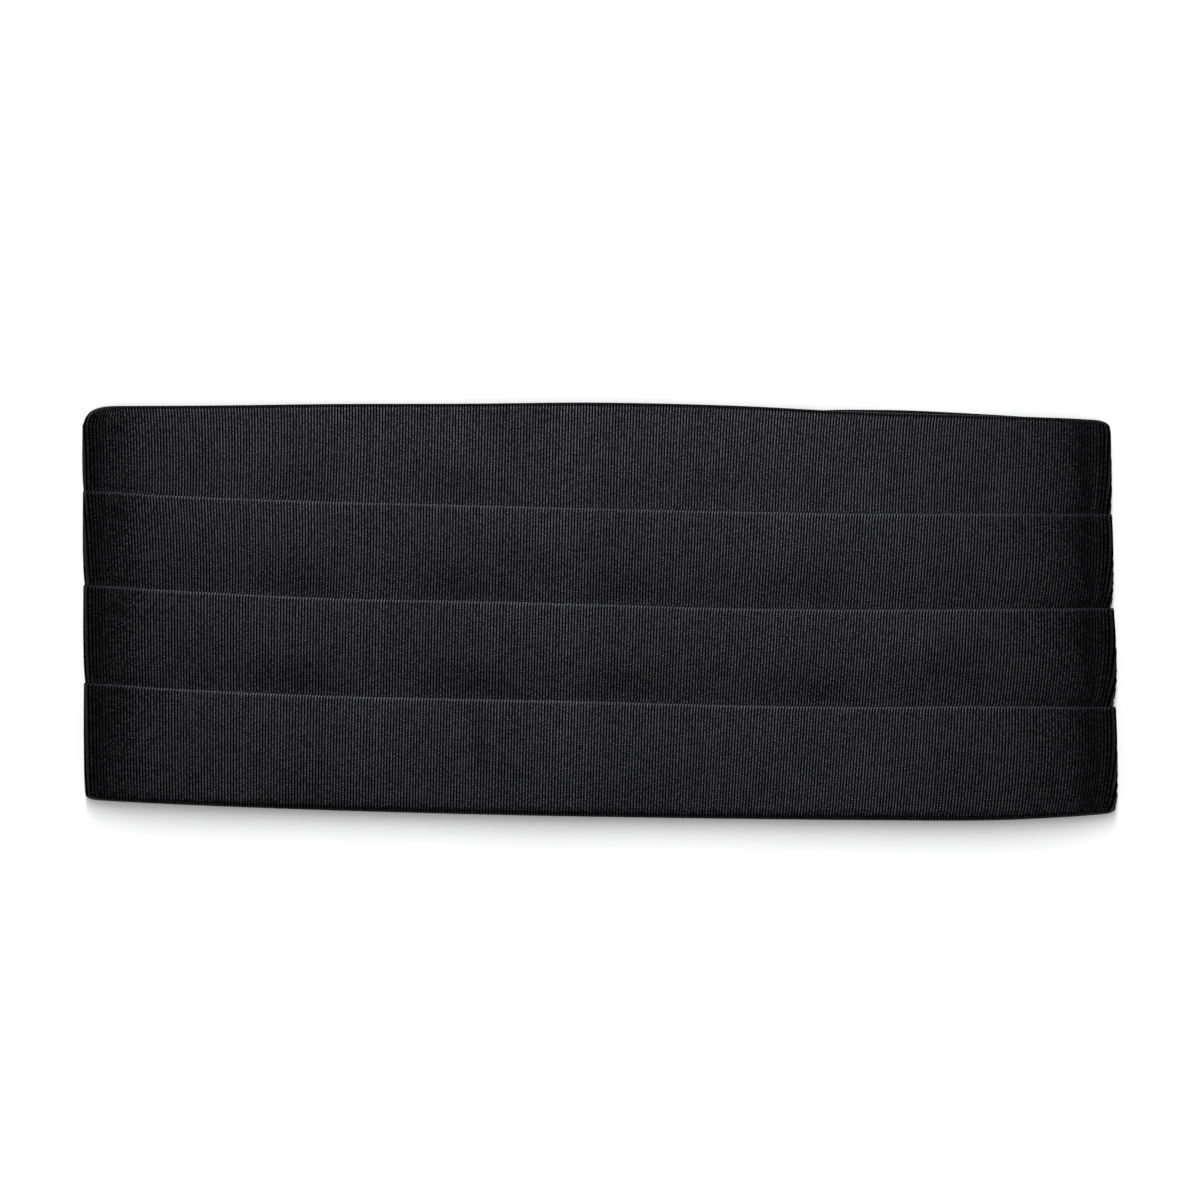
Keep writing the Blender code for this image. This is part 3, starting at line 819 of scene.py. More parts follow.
LINING_CREASES = (
    # start x, start y, end x, end y, half width, height, and 1 for an end or 0 for the front
    (-140.0, 44.0, -92.0, 20.0, 4.0, 0.3, 1),
    (-132.0, -40.0, -84.0, -22.0, 5.0, 0.26, 1),
    (-60.0, 30.0, -48.0, -8.0, 3.6, 0.22, 1),
    (138.0, 40.0, 96.0, 30.0, 4.4, 0.28, 1),
    (120.0, -48.0, 70.0, -20.0, 5.2, 0.3, 1),
    (52.0, 36.0, 60.0, -4.0, 3.4, 0.2, 1),
    (-24.0, 44.0, 14.0, 30.0, 4.2, 0.34, 0),
    (-20.0, -30.0, 22.0, -42.0, 3.6, 0.3, 0),
    (-22.0, -16.0, -8.0, -38.0, 2.8, 0.22, 0),
    (16.0, 22.0, 24.0, 46.0, 3.0, 0.24, 0),
)
print(len(LINING_CREASES), "creases in the lining")

# %% [markdown]
# ## Stations and creases of the lining
# The stations are evenly spaced, with more of them at the two tight turns. A crease is a soft
# ridge along a straight line, highest in its middle. Its own list says where each one starts and
# ends.

# %% Stations and creases of the lining
def lining_stations():
    """The lining's line as evenly spaced stations, from the left binding to the right one."""
    half = np.array(LINING_LINE) * (MM, MM, 1.0)
    left = half * (-1.0, 1.0, 1.0)
    line = np.concatenate([left, half[-2::-1]])
    length = running_length(line[:, :2])
    turns = np.linspace(-1, 1, 9) * LINING_STEP
    spots = [np.arange(0.0, length[-1], LINING_STEP), [length[-1]]]
    spots += [length[LINING_TURN] + turns, length[-1 - LINING_TURN] + turns]
    along = np.unique(np.concatenate(spots))
    at = {name: np.interp(along, length, line[:, i]) for i, name in enumerate(("x", "z", "behind"))}
    return along, at


def crease_ridge(x, y, behind):
    """Height of all soft creases of the lining at a point, each fading towards its two ends."""
    total = 0.0
    for x0, y0, x1, y1, half_width, height, side in LINING_CREASES:
        along_x, along_y = (x1 - x0) * MM, (y1 - y0) * MM
        length = math.hypot(along_x, along_y)
        from_x, from_y = x - x0 * MM, y - y0 * MM
        share = (from_x * along_x + from_y * along_y) / length**2
        off = (from_x * along_y - from_y * along_x) / length
        fade = np.sin(math.pi * np.clip(share, 0, 1)) ** 2
        ridge = np.exp(-((off / (half_width * MM)) ** 2)) * fade
        total = total + height * MM * ridge * (1 - np.abs(behind - side))
    return total


print("stations along the lining:", len(lining_stations()[0]))

# %% [markdown]
# ## The lining as a sheet
# The grid's columns are the stations and its rows run from the upper edge down. Where the two ends
# leave a gap, the edges of the lining stand up to the rolled silk, and its middle sags to the
# strap.

# %% Make the lining
def make_lining():
    along, at = lining_stations()
    top, bottom = strip_lines("top", "bottom", at)
    top, bottom = top - LINING_INSET, bottom + LINING_INSET
    between = smoothstep((GAP_HALF - np.abs(at["x"])) / GAP_FADE) * (1 - at["behind"])
    points = []
    for share in np.linspace(0.0, 1.0, LINING_ROWS):
        y = top + (bottom - top) * share
        from_edge = np.minimum(top - y, y - bottom)
        raised = np.maximum(EDGE_HEIGHT - at["z"], 0.0) * smoothstep(1 - from_edge / SAG_WIDTH)
        z = at["z"] + raised * between + crease_ridge(at["x"], y, at["behind"])
        points.append(np.column_stack((drawn_to_side(at["x"], y), y, z)))
    points = np.array(points)
    v = np.linspace(0.0, float((top - bottom).mean()), LINING_ROWS)
    uvs = np.stack(np.broadcast_arrays(along[None, :], v[:, None]), axis=-1)
    piece = add_piece(grid_mesh("satin_lining", points, uvs), LINING_SHARP)
    wall = piece.modifiers.new("thickness", "SOLIDIFY")
    wall.thickness = LINING_THICKNESS
    wall.offset = 0.0
    return piece, (float(along[-1]), float((top - bottom).mean()))


lining, lining_cut = make_lining()
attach(lining, "root")
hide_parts("folded_back_ends")
print("lining cut in mm:", [round(side / MM) for side in lining_cut])

# %% [markdown]
# ## The end bindings
# The pleated ends are thick and raw, so a maker folds a straight piece of the same silk over each
# one and sews through all layers. That makes a flat, soft bar, and the strap goes into it. Its
# section is a rounded rectangle, pressed in along the seam. The grid's columns go once round the
# section here, and its rows run along the bar. Next to the caps, the section shrinks to a soft
# end.

# %% A soft flat bar
BINDING_WIDTH = 10.0 * MM
BINDING_THICKNESS = 3.2 * MM
BINDING_CORNER = 1.3 * MM
SEAM_INSET = 1.7 * MM
SEAM_DEPTH = 0.35 * MM
BAR_CAP = 1.3 * MM
BAR_SHARP = 60  # degrees


def rounded_section(width, thickness, corner, arc_points, side_points):
    """A closed rounded rectangle round the origin, as (across, up) points."""
    points = []
    for turn, (sx, sz) in enumerate(((1, 1), (-1, 1), (-1, -1), (1, -1))):
        centre = np.array((sx * (width / 2 - corner), sz * (thickness / 2 - corner)))
        for angle in np.linspace(0, math.pi / 2, arc_points) + turn * math.pi / 2:
            points.append(centre + corner * np.array((math.cos(angle), math.sin(angle))))
        if turn in (0, 2):
            start, end = points[-1], points[-1] * (-1, 1)
            points += [start + (end - start) * t for t in np.linspace(0, 1, side_points + 2)[1:-1]]
    return np.array(points)


def closed_length(section):
    """The running length once round a section."""
    return running_length(np.vstack([section, section[:1]]))


def bar_mesh(name, points, along, section):
    """A closed bar from its rows of section points, with the cloth's measure in its UV map."""
    points = np.array(points)
    points = np.concatenate([points, points[:, :1]], axis=1)
    around = closed_length(section)
    mesh = grid_mesh(name, points, np.stack(np.broadcast_arrays(along[:, None], around), axis=-1))
    close_tube(mesh)
    return add_piece(mesh, BAR_SHARP)


def cap_scale(from_end, cap):
    """How far a section has opened at this distance from the bar's end."""
    t = np.clip(from_end / cap, 0.0, 1.0)
    return np.sqrt(1 - (1 - t) ** 2)


binding_section = rounded_section(
    BINDING_WIDTH, BINDING_THICKNESS, BINDING_CORNER, arc_points=6, side_points=15
)
print("once round a binding:", round(float(closed_length(binding_section)[-1]) / MM, 1), "mm")

# %% [markdown]
# ## Folding the bindings over the ends
# The section runs along the bar. A slow and a quick sine make the long sides a little uneven, as
# they are where a hand folds the silk over. The seam presses a narrow groove into both faces.

# %% Make the bindings
SEAM_HALF = 0.5 * MM  # half the width of the seam's groove
CAP_OPEN = 0.35  # how open the section is at the very end
CAP_NARROW = 0.15  # how much narrower a closed section would be
CAP_ROWS = BAR_CAP * np.array((0.1, 0.3, 0.6))
BINDING_ROWS = 84
BINDING_WAVES = ((0.12 * MM, 7.0 * MM, 0.0), (0.08 * MM, 2.9 * MM, 1.0))  # size, length and start
BINDING_OUTSIDE = 35.75 * MM  # its outer long side, from the garment's middle


def make_binding(name, side):
    """A binding on one end. side is -1 for the left end and 1 for the right one."""
    edge = side * END_INSIDE
    top, bottom = (read_across(BEHIND, column, np.array([edge]))[0] for column in ("top", "bottom"))
    across, up = binding_section.T
    seam = np.exp(-(((across * side - BINDING_WIDTH / 2 + SEAM_INSET) / SEAM_HALF) ** 2))
    up = up - np.sign(up) * SEAM_DEPTH * seam
    evenly = np.linspace(bottom, top, BINDING_ROWS)
    rows = np.sort(np.concatenate([evenly, bottom + CAP_ROWS, top - CAP_ROWS]))
    middle = side * (BINDING_OUTSIDE - BINDING_WIDTH / 2)
    points = []
    for y in rows:
        open_now = CAP_OPEN + (1 - CAP_OPEN) * cap_scale(min(y - bottom, top - y), BAR_CAP)
        wave = sum(size * math.sin(y / length + start) for size, length, start in BINDING_WAVES)
        x = middle + across * (1 - CAP_NARROW + CAP_NARROW * open_now) + wave
        z = BINDING_THICKNESS / 2 + up * open_now
        points.append(np.column_stack((x, np.full_like(x, y), z)))
    around = float(closed_length(binding_section)[-1])
    return bar_mesh(name, points, rows - bottom, binding_section), (float(top - bottom), around)


bindings = []
for name, node, side in (
    ("binding_left", "end_binding_left", -1.0),
    ("binding_right", "end_binding_right", 1.0),
):
    piece, cut = make_binding(name, side)
    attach(piece, "root")
    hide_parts(node)
    bindings.append((piece, cut))
    print(name, "is cut in mm:", [round(side / MM) for side in cut])

# %% [markdown]
# ## The seam stitches
# Each binding is held by one row of straight stitches. A stitch is a single short lump of thread,
# so a small icosphere, drawn long, is enough: there are hundreds, and each has only a few dozen
# faces.

# %% Sew the bindings
STITCH_LENGTH = 2.3 * MM
STITCH_GAP = 0.7 * MM
STITCH_WIDTH = 0.42 * MM
STITCH_HEIGHT = 0.35 * MM
STITCH_SHARP = 90  # degrees
STITCH_SUNK = SEAM_DEPTH - 0.03 * MM
STITCH_SLANT = Matrix.Rotation(math.radians(4.0), 4, "Z")
SEAM_START = 1.5 * MM  # from the bar's end


def sew_row(bm, x, z, y_start, y_end):
    """Adds a row of stitches along Y to a bmesh."""
    pitch = STITCH_LENGTH + STITCH_GAP
    count = int((y_end - y_start) / pitch)
    for number in range(count):
        y = y_start + (number + 0.5) * pitch
        shape = Matrix.Diagonal((STITCH_WIDTH / 2, STITCH_LENGTH / 2, STITCH_HEIGHT / 2, 1.0))
        place = Matrix.Translation((x, y, z)) @ STITCH_SLANT @ shape
        bmesh.ops.create_icosphere(bm, subdivisions=2, radius=1.0, matrix=place)
    return count


stitches = []
for name, side, (binding, _) in zip(("stitches_left", "stitches_right"), (-1.0, 1.0), bindings):
    ys = [corner[1] for corner in binding.bound_box]
    x = side * (BINDING_OUTSIDE - SEAM_INSET)
    bm = bmesh.new()
    for z in (STITCH_SUNK, BINDING_THICKNESS - STITCH_SUNK):
        sewn = sew_row(bm, x, z, min(ys) + SEAM_START, max(ys) - SEAM_START)
    piece = add_piece(mesh_from(bm, name), STITCH_SHARP)
    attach(piece, "root")
    stitches.append(piece)
    print(name, 2 * sewn, "stitches")

# %% [markdown]
# ## The strap
# A flat band of webbing joins the two bindings behind the back. It is woven with stout threads
# across it, so it can bend but not curl. It passes over the slide's two outer bars and under its
# middle bar.

# %% Sizes of the strap
STRAP_WIDTH = 25.0 * MM
STRAP_THICKNESS = 0.85 * MM
STRAP_MIDDLE_Y = 3.0 * MM
STRAP_REACH = 26.6 * MM  # it runs on into the bindings
STRAP_ROWS = 90
STRAP_CORNER = 0.35 * MM
SELVEDGE = 2.5 * MM  # its long edges are woven this wide
SELVEDGE_THICKER = 0.12  # the rest is thinner by this share
STRAP_WAVE = (0.004, 3.0 * MM)  # how much the strap's width varies, and how slowly
STRAP_LINE = (
    # x and height of the strap's middle
    (-26.6, 1.6),
    (-19.0, 1.5),
    (-12.0, 1.6),
    (-8.7, 1.68),
    (-4.0, 1.6),
    (0.0, 1.58),
    (4.0, 1.62),
    (8.7, 1.68),
    (13.0, 1.6),
    (20.0, 1.52),
    (26.6, 1.6),
)
strap_marks = columns(("x", "z"), STRAP_LINE)
strap_section = rounded_section(
    STRAP_WIDTH, STRAP_THICKNESS, STRAP_CORNER, arc_points=4, side_points=25
)
print("strap:", 2 * STRAP_REACH / MM, "mm long,", len(strap_section), "points round it")

# %% [markdown]
# ## Webbing as a bar
# The same soft bar as before, laid along X: the section stands square to the strap and follows the
# marks' heights. The long edges, called selvedges, are woven a little thicker.

# %% Make the strap
strap_x = np.linspace(-STRAP_REACH, STRAP_REACH, STRAP_ROWS)
across, up = strap_section.T
up = up * (1 - SELVEDGE_THICKER * smoothstep((STRAP_WIDTH / 2 - np.abs(across)) / SELVEDGE))
strap_points = []
for x, z in zip(strap_x, read_across(strap_marks, "z", strap_x)):
    y = STRAP_MIDDLE_Y + across * (1 + STRAP_WAVE[0] * math.sin(x / STRAP_WAVE[1]))
    strap_points.append(np.column_stack((np.full_like(y, x), y, z + up)))
strap = bar_mesh("webbing_strap", strap_points, strap_x, strap_section)
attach(strap, "root")
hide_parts("back_strap")
print("the middle is", round(100 * SELVEDGE_THICKER), "per cent thinner than the selvedges")

# %% [markdown]
# ## The slide
# The slide sets the strap's length. It is stamped and bent from sheet metal: two rails with two
# low outer bars, and one high bar in the middle. We give the places of its edges as three short
# lists, and two helpers: one finds faces by where they are, the other one extrudes them upwards.

# %% Sizes and helpers of the slide
SLIDE_X = (-10.0, -7.6, -1.1, 1.1, 7.6, 10.0)  # these three lists are in millimetres
SLIDE_Y = (-15.0, -12.8, 12.8, 15.0)
SLIDE_LEVELS = (0.9, 2.4, 3.2, 3.4)  # low bars' top, middle bar's bottom and top, rails' top
SLIDE_BEVEL = 0.28 * MM
SLIDE_SHARP = 40  # degrees


def faces_at(bm, test):
    """The faces whose middle, in millimetres, and normal pass a test."""
    found = []
    for face in bm.faces:
        x, y, z = face.calc_center_median() / MM
        if test(x, y, z, face.normal):
            found.append(face)
    return found


def extrude_up(bm, faces, height):
    """Extrudes faces upwards by millimetres. It keeps them and returns the new ones above."""
    made = bmesh.ops.extrude_face_region(bm, geom=faces)["geom"]
    verts = [item for item in made if isinstance(item, bmesh.types.BMVert)]
    bmesh.ops.translate(bm, verts=verts, vec=(0.0, 0.0, height * MM))
    return [item for item in made if isinstance(item, bmesh.types.BMFace)]


print("the slide is", SLIDE_X[-1] - SLIDE_X[0], "x", SLIDE_Y[-1] - SLIDE_Y[0], "mm")

# %% [markdown]
# ## A frame from a flat sheet
# A grid is moved onto the edge lists, its window is cut out, and the rest is extruded to the
# sheet's thickness. That leaves a flat frame: two rails and two low bars.

# %% Cut the slide's frame
bm = bmesh.new()
bmesh.ops.create_grid(bm, x_segments=5, y_segments=3, size=0.5)
for vert in bm.verts:
    column = round((vert.co.x + 0.5) * 5)
    row = round((vert.co.y + 0.5) * 3)
    vert.co = Vector((SLIDE_X[column], SLIDE_Y[row], 0.0)) * MM
window = faces_at(bm, lambda x, y, z, n: abs(x) < SLIDE_X[4] and abs(y) < SLIDE_Y[2])
bmesh.ops.delete(bm, geom=window, context="FACES")
extrude_up(bm, list(bm.faces), SLIDE_LEVELS[0])
bmesh.ops.recalc_face_normals(bm, faces=bm.faces)
print("the frame has", len(bm.faces), "faces")

# %% [markdown]
# ## Rails, middle bar and soft edges
# The rails are extruded upwards in three steps, so that a face of the right height waits on each
# inner side. Bridging those two faces makes the middle bar. A bevel on every sharp edge, three
# segments round, makes the stamped metal catch the light.

# %% Raise the rails and bridge the bar
rails = faces_at(bm, lambda x, y, z, n: abs(y) > SLIDE_Y[2] and n.z > 0.9)
for low, high in zip(SLIDE_LEVELS, SLIDE_LEVELS[1:]):
    raised = extrude_up(bm, rails, high - low)
    bmesh.ops.delete(bm, geom=rails, context="FACES")
    rails = raised
bmesh.ops.recalc_face_normals(bm, faces=bm.faces)
facing = faces_at(
    bm,
    lambda x, y, z, n: abs(x) < SLIDE_X[3]
    and SLIDE_LEVELS[1] < z < SLIDE_LEVELS[2]
    and abs(abs(y) - SLIDE_Y[2]) < 0.01,
)
ends = [edge for face in facing for edge in face.edges]
bmesh.ops.delete(bm, geom=facing, context="FACES_ONLY")
bmesh.ops.bridge_loops(bm, edges=ends)
bmesh.ops.recalc_face_normals(bm, faces=bm.faces)
corners = [edge for edge in bm.edges if edge.calc_face_angle(0.0) > math.radians(30)]
bmesh.ops.bevel(
    bm,
    geom=corners,
    offset=SLIDE_BEVEL,
    segments=3,
    profile=0.5,
    affect="EDGES",
    material=-1,
    clamp_overlap=True,
)
bmesh.ops.remove_doubles(bm, verts=bm.verts, dist=0.005 * MM)
bmesh.ops.translate(bm, verts=bm.verts, vec=(0.0, STRAP_MIDDLE_Y, 0.0))
open_edges = sum(1 for edge in bm.edges if not edge.is_manifold)
slide = add_piece(mesh_from(bm, "three_bar_slide"), SLIDE_SHARP)
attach(slide, "root")
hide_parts("strap_slide")
print("open edges in the slide:", open_edges)

# %% [markdown]
# ## The camera, the table and the light
# The garment is seen straight from above with a long lens, so the picture is almost a plan. The
# camera stands over the middle of the picture, which is a little above the middle of the garment.

# %% Camera
VIEW_HEIGHT = 1.5  # metres above the table
VIEW_MIDDLE = 3.45 * MM
VIEW_WIDTH = 363.2 * MM  # what the picture spans, at the height of the folds
FOLD_HEIGHT = 7.5 * MM

camera_data = bpy.data.cameras.new("camera")
camera_data.lens = camera_data.sensor_width * (VIEW_HEIGHT - FOLD_HEIGHT) / VIEW_WIDTH
camera_data.clip_end = 20.0
camera = add_object("camera", camera_data)
camera.location = (0.0, VIEW_MIDDLE, VIEW_HEIGHT)
bpy.context.scene.camera = camera
bpy.context.scene.view_settings.view_transform = "Standard"
print("lens:", round(camera_data.lens, 1), "mm")

# %% [markdown]
# ## A material of one colour
# A new material comes with one Principled BSDF node, and setting its sockets is enough for
# anything that is even all over, such as the table. It reflects most light but not all, as white
# paint does.

# %% The table
FLOOR_SIZE = 12.0
TABLE_WHITE = (0.85, 0.84, 0.8, 1.0)  # a little warm, against the cool light
TABLE_BELOW = -0.1 * MM  # a hair under the cloth, so that the two never share a plane


def new_material(name, roughness, specular):
    """A material, its node tree and its Principled node, whose plain numbers are set."""
    material = bpy.data.materials.new(name)
    material.use_nodes = True
    shader = material.node_tree.nodes["Principled BSDF"]
    shader.inputs["Roughness"].default_value = roughness
    shader.inputs["Specular IOR Level"].default_value = specular
    return material, material.node_tree, shader


bm = bmesh.new()
bmesh.ops.create_grid(bm, x_segments=1, y_segments=1, size=FLOOR_SIZE / 2)
bmesh.ops.translate(bm, verts=bm.verts, vec=(0.0, 0.0, TABLE_BELOW))
floor = add_object("table", mesh_from(bm, "table"))
white, tree, shader = new_material("white_table", 0.9, 0.5)
shader.inputs["Base Color"].default_value = TABLE_WHITE
floor.data.materials.append(white)
print("table:", FLOOR_SIZE, "m across")

# %% [markdown]
# ## Light for a ribbed cloth
# Black silk shows what it reflects. A long softbox far behind the upper edge skims over the front,
# so that every slope towards it turns grey and every slope away stays black. A second one overhead
# lifts the flat parts, and an even room light keeps the shadows on the table soft.

# %% Lights
LIGHT_COLOR = (0.935, 0.95, 1.0)
KEY_LIGHT = {"place": (-0.08, 1.2, 1.9), "size": (0.13, 1.7), "power": 41.2}
FILL_LIGHT = {"place": (0.0, 0.03, 2.2), "size": (0.3, 1.0), "power": 17.6}
ROOM_COLOR = (0.94, 0.95, 1.0, 1.0)
ROOM_LIGHT = 0.37


def add_softbox(name, place, size, power):
    """A rectangular light that looks at the middle of the table."""
    data = bpy.data.lights.new(name, "AREA")
    data.shape = "RECTANGLE"
    data.size, data.size_y = size
    data.energy = power
    data.color = LIGHT_COLOR
    light = add_object(name, data)
    light.location = place
    light.rotation_euler = Vector([-step for step in place]).to_track_quat("-Z", "Y").to_euler()


add_softbox("key_softbox", **KEY_LIGHT)
add_softbox("fill_softbox", **FILL_LIGHT)
world = bpy.data.worlds.new("room")
world.use_nodes = True
background = world.node_tree.nodes["Background"]
background.inputs["Color"].default_value = ROOM_COLOR
background.inputs["Strength"].default_value = ROOM_LIGHT
bpy.context.scene.world = world
print("lights:", KEY_LIGHT["power"], "W and", FILL_LIGHT["power"], "W")

# %% [markdown]
# ## Building materials from nodes
# Each finish below is a node tree. A tiny helper adds a node and sets its values, one links
# sockets to a node by their names, and another one does arithmetic, so that a tree reads like a
# recipe. Two more remap a value and mix two colours, which are the steps that every finish is made
# of.

# %% Node helpers
def add_node(tree, kind, inputs=None, **settings):
    """A new node with its settings. An input is linked if it is given a socket."""
    node = tree.nodes.new(kind)
    for name, value in settings.items():
        setattr(node, name, value)
    for name, value in (inputs or {}).items():
        if isinstance(value, bpy.types.NodeSocket):
            tree.links.new(value, node.inputs[name])
        else:
            node.inputs[name].default_value = value
    return node


def feed(tree, node, sockets):
    """Links sockets to a node's inputs of these names."""
    for name, socket in sockets.items():
        tree.links.new(socket, node.inputs[name])


def calculate(tree, operation, *values):
    inputs = dict(enumerate(values))
    return add_node(tree, "ShaderNodeMath", inputs, operation=operation).outputs[0]


def remap(tree, value, low, high, new_low, new_high, interpolation="SMOOTHSTEP"):
    names = ("Value", "From Min", "From Max", "To Min", "To Max")
    inputs = dict(zip(names, (value, low, high, new_low, new_high)))
    node = add_node(tree, "ShaderNodeMapRange", inputs, interpolation_type=interpolation)
    return node.outputs["Result"]


def mix_colors(tree, factor, first, second):
    """A colour between two. The Mix node keeps its colour sockets at places 6 and 7."""
    inputs = {0: factor, 6: first, 7: second}
    return add_node(tree, "ShaderNodeMix", inputs, data_type="RGBA").outputs[2]


print("helpers: add_node, feed, calculate, remap, mix_colors")

# %% [markdown]
# ## Groups and shared patterns
# Effects that several finishes share become node groups: they are built once, and each material
# places them with its own numbers. One helper makes a group with its sockets, and one places it.

# %% Helpers for groups
FLOAT = "NodeSocketFloat"
VECTOR = "NodeSocketVector"
COLOR = "NodeSocketColor"


def new_group(name, inputs, outputs):
    """A node group with these sockets: {name: (type, default)} and {name: type}."""
    group = bpy.data.node_groups.new(name, "ShaderNodeTree")
    for label, (kind, default) in inputs.items():
        socket = group.interface.new_socket(label, in_out="INPUT", socket_type=kind)
        if default is not None:
            socket.default_value = default
    for label, kind in outputs.items():
        group.interface.new_socket(label, in_out="OUTPUT", socket_type=kind)
    return group, group.nodes.new("NodeGroupInput"), group.nodes.new("NodeGroupOutput")


def place_group(tree, group, inputs):
    return add_node(tree, "ShaderNodeGroup", inputs, node_tree=group)


print("helpers: new_group, place_group")

# %% [markdown]
# ## What every finish begins with
# Patterns on cloth read its UV map, and patterns on anything else read Object coordinates. Threads
# that run at a slant, as in satin or in sewing thread, are a Wave Texture turned by a Mapping
# node. A bump is the last step.

# %% Helpers for patterns
WAVE_UNIT = 0.314  # a Wave Texture of scale 1 repeats after this length


def cloth_uv(tree):
    return add_node(tree, "ShaderNodeUVMap", uv_map="cloth").outputs["UV"]


def object_place(tree):
    return add_node(tree, "ShaderNodeTexCoord").outputs["Object"]


def grey(value, blue=1.0):
    """An RGBA grey, with a little more blue if asked for."""
    return (value, value, value * blue, 1.0)


def slanted_wave(tree, vector, angle, length, inputs=None, **settings):
    """Bands that repeat after a length and are turned by an angle."""
    turned = add_node(tree, "ShaderNodeMapping", {"Vector": vector, "Rotation": (0.0, 0.0, angle)})
    inputs = {"Vector": turned.outputs["Vector"], "Scale": WAVE_UNIT / length, **(inputs or {})}
    return add_node(tree, "ShaderNodeTexWave", inputs, **settings).outputs["Fac"]


def add_bump(tree, shader, height, distance=1.0, strength=1.0):
    inputs = {"Height": height, "Distance": distance, "Strength": strength}
    bump = add_node(tree, "ShaderNodeBump", inputs)
    feed(tree, shader, {"Normal": bump.outputs["Normal"]})


print("a light grey with a breath of blue:", grey(0.5, 1.1))

# %% [markdown]
# ## The ribbed weave as a group
# Every ribbed fabric here repeats one idea: cords that lie side by side, wrapped by fine threads
# that bead them. The group reads the cloth's own measure from the UV map, where one rib is one
# pitch. It puts out the height for a bump, a mask that is 1 on a cord and 0 in the groove, and a
# random value and colour for each bead, because silk glitters unevenly.

# %% The ribbed weave
BEAD_SHIFT = 7.3  # the beads of each rib start somewhere within this many beads
GROOVE_EDGE = 0.02  # the bare bottom of a groove, as a share of the pitch


def build_ribbed_weave():
    group, given, result = new_group(
        "ribbed_weave",
        {
            "Vector": (VECTOR, None),
            "Pitch": (FLOAT, 0.0009),
            "Bead": (FLOAT, 0.0006),
            "Groove": (FLOAT, 0.4),
            "Rib Height": (FLOAT, 0.0),
            "Bead Height": (FLOAT, 0.00002),
        },
        {"Height": FLOAT, "Cord": FLOAT, "Fleck": FLOAT, "Fleck Color": COLOR},
    )
    split = add_node(group, "ShaderNodeSeparateXYZ", {"Vector": given.outputs["Vector"]})
    rib = calculate(group, "DIVIDE", split.outputs["X"], given.outputs["Pitch"])
    number = calculate(group, "FLOOR", rib)
    phase = calculate(group, "FRACT", rib)
    from_groove = calculate(group, "PINGPONG", phase, 0.5)
    half_groove = calculate(group, "MULTIPLY", given.outputs["Groove"], 0.5)
    cord = remap(group, from_groove, GROOVE_EDGE, half_groove, 0.0, 1.0)
    own = add_node(group, "ShaderNodeTexWhiteNoise", {"W": number}, noise_dimensions="1D")
    bead_place = calculate(group, "DIVIDE", split.outputs["Y"], given.outputs["Bead"])
    shifted = calculate(group, "MULTIPLY_ADD", own.outputs["Value"], BEAD_SHIFT, bead_place)
    bead_number = calculate(group, "FLOOR", shifted)
    bead_phase = calculate(group, "FRACT", shifted)
    bead = calculate(group, "SINE", calculate(group, "MULTIPLY", bead_phase, math.pi))
    cell = add_node(group, "ShaderNodeCombineXYZ", {"X": number, "Y": bead_number, "Z": 0.5})
    chance_node = add_node(group, "ShaderNodeTexWhiteNoise", {"Vector": cell.outputs["Vector"]})
    fleck = calculate(group, "MULTIPLY", chance_node.outputs["Value"], bead)
    bead_rise = calculate(group, "MULTIPLY", fleck, given.outputs["Bead Height"])
    rib_rise = calculate(group, "MULTIPLY", cord, given.outputs["Rib Height"])
    rise = calculate(group, "MULTIPLY_ADD", bead_rise, cord, rib_rise)
    color = chance_node.outputs["Color"]
    feed(group, result, {"Height": rise, "Cord": cord, "Fleck": fleck, "Fleck Color": color})
    return group


def place_weave(tree, pitch, bead, groove, rib_height, bead_height):
    """The weave on a cloth's UV map."""
    names = ("Vector", "Pitch", "Bead", "Groove", "Rib Height", "Bead Height")
    values = (cloth_uv(tree), pitch, bead, groove, rib_height, bead_height)
    return place_group(tree, ribbed_weave, dict(zip(names, values)))


ribbed_weave = build_ribbed_weave()
print(ribbed_weave.name, "has", len(ribbed_weave.nodes), "nodes")

# %% [markdown]
# ## Handling as a group
# Anything that is worn and folded has patches where it was touched, pressed or rubbed. Two sizes
# of noise on Object coordinates give a slow value to add to roughness and colour. It belongs to
# the object's own space, so it stays put whichever way the camera looks. A helper turns its
# patches into roughness.

# %% Patches of handling
SPECKS_FINER = 24.0  # the specks are this much finer than the patches
SPECK_EDGE = (0.55, 0.75)  # only the peaks of the fine noise are specks


def build_handling():
    group, given, result = new_group(
        "handling",
        {"Vector": (VECTOR, None), "Size": (FLOAT, 0.03), "Contrast": (FLOAT, 0.5)},
        {"Patch": FLOAT, "Speck": FLOAT},
    )
    scale = calculate(group, "DIVIDE", 1.0, given.outputs["Size"])
    fine = calculate(group, "MULTIPLY", scale, SPECKS_FINER)
    where = given.outputs["Vector"]
    slow = add_node(group, "ShaderNodeTexNoise", {"Vector": where, "Scale": scale, "Detail": 3.0})
    quick = add_node(group, "ShaderNodeTexNoise", {"Vector": where, "Scale": fine, "Detail": 2.0})
    centred = calculate(group, "SUBTRACT", slow.outputs["Fac"], 0.5)
    patch = calculate(group, "MULTIPLY_ADD", centred, given.outputs["Contrast"], 0.5)
    speck = remap(group, quick.outputs["Fac"], *SPECK_EDGE, 0.0, 1.0)
    feed(group, result, {"Patch": patch, "Speck": speck})
    return group


def place_handling(tree, size, contrast):
    """Handling on Object coordinates."""
    inputs = {"Vector": object_place(tree), "Size": size, "Contrast": contrast}
    return place_group(tree, handling, inputs)


def rough_by_patch(tree, touched, least, most):
    """Roughness between two values, by the patches of a placed handling group."""
    return remap(tree, touched.outputs["Patch"], 0.0, 1.0, least, most)


handling = build_handling()
print(handling.name, "has", len(handling.nodes), "nodes")
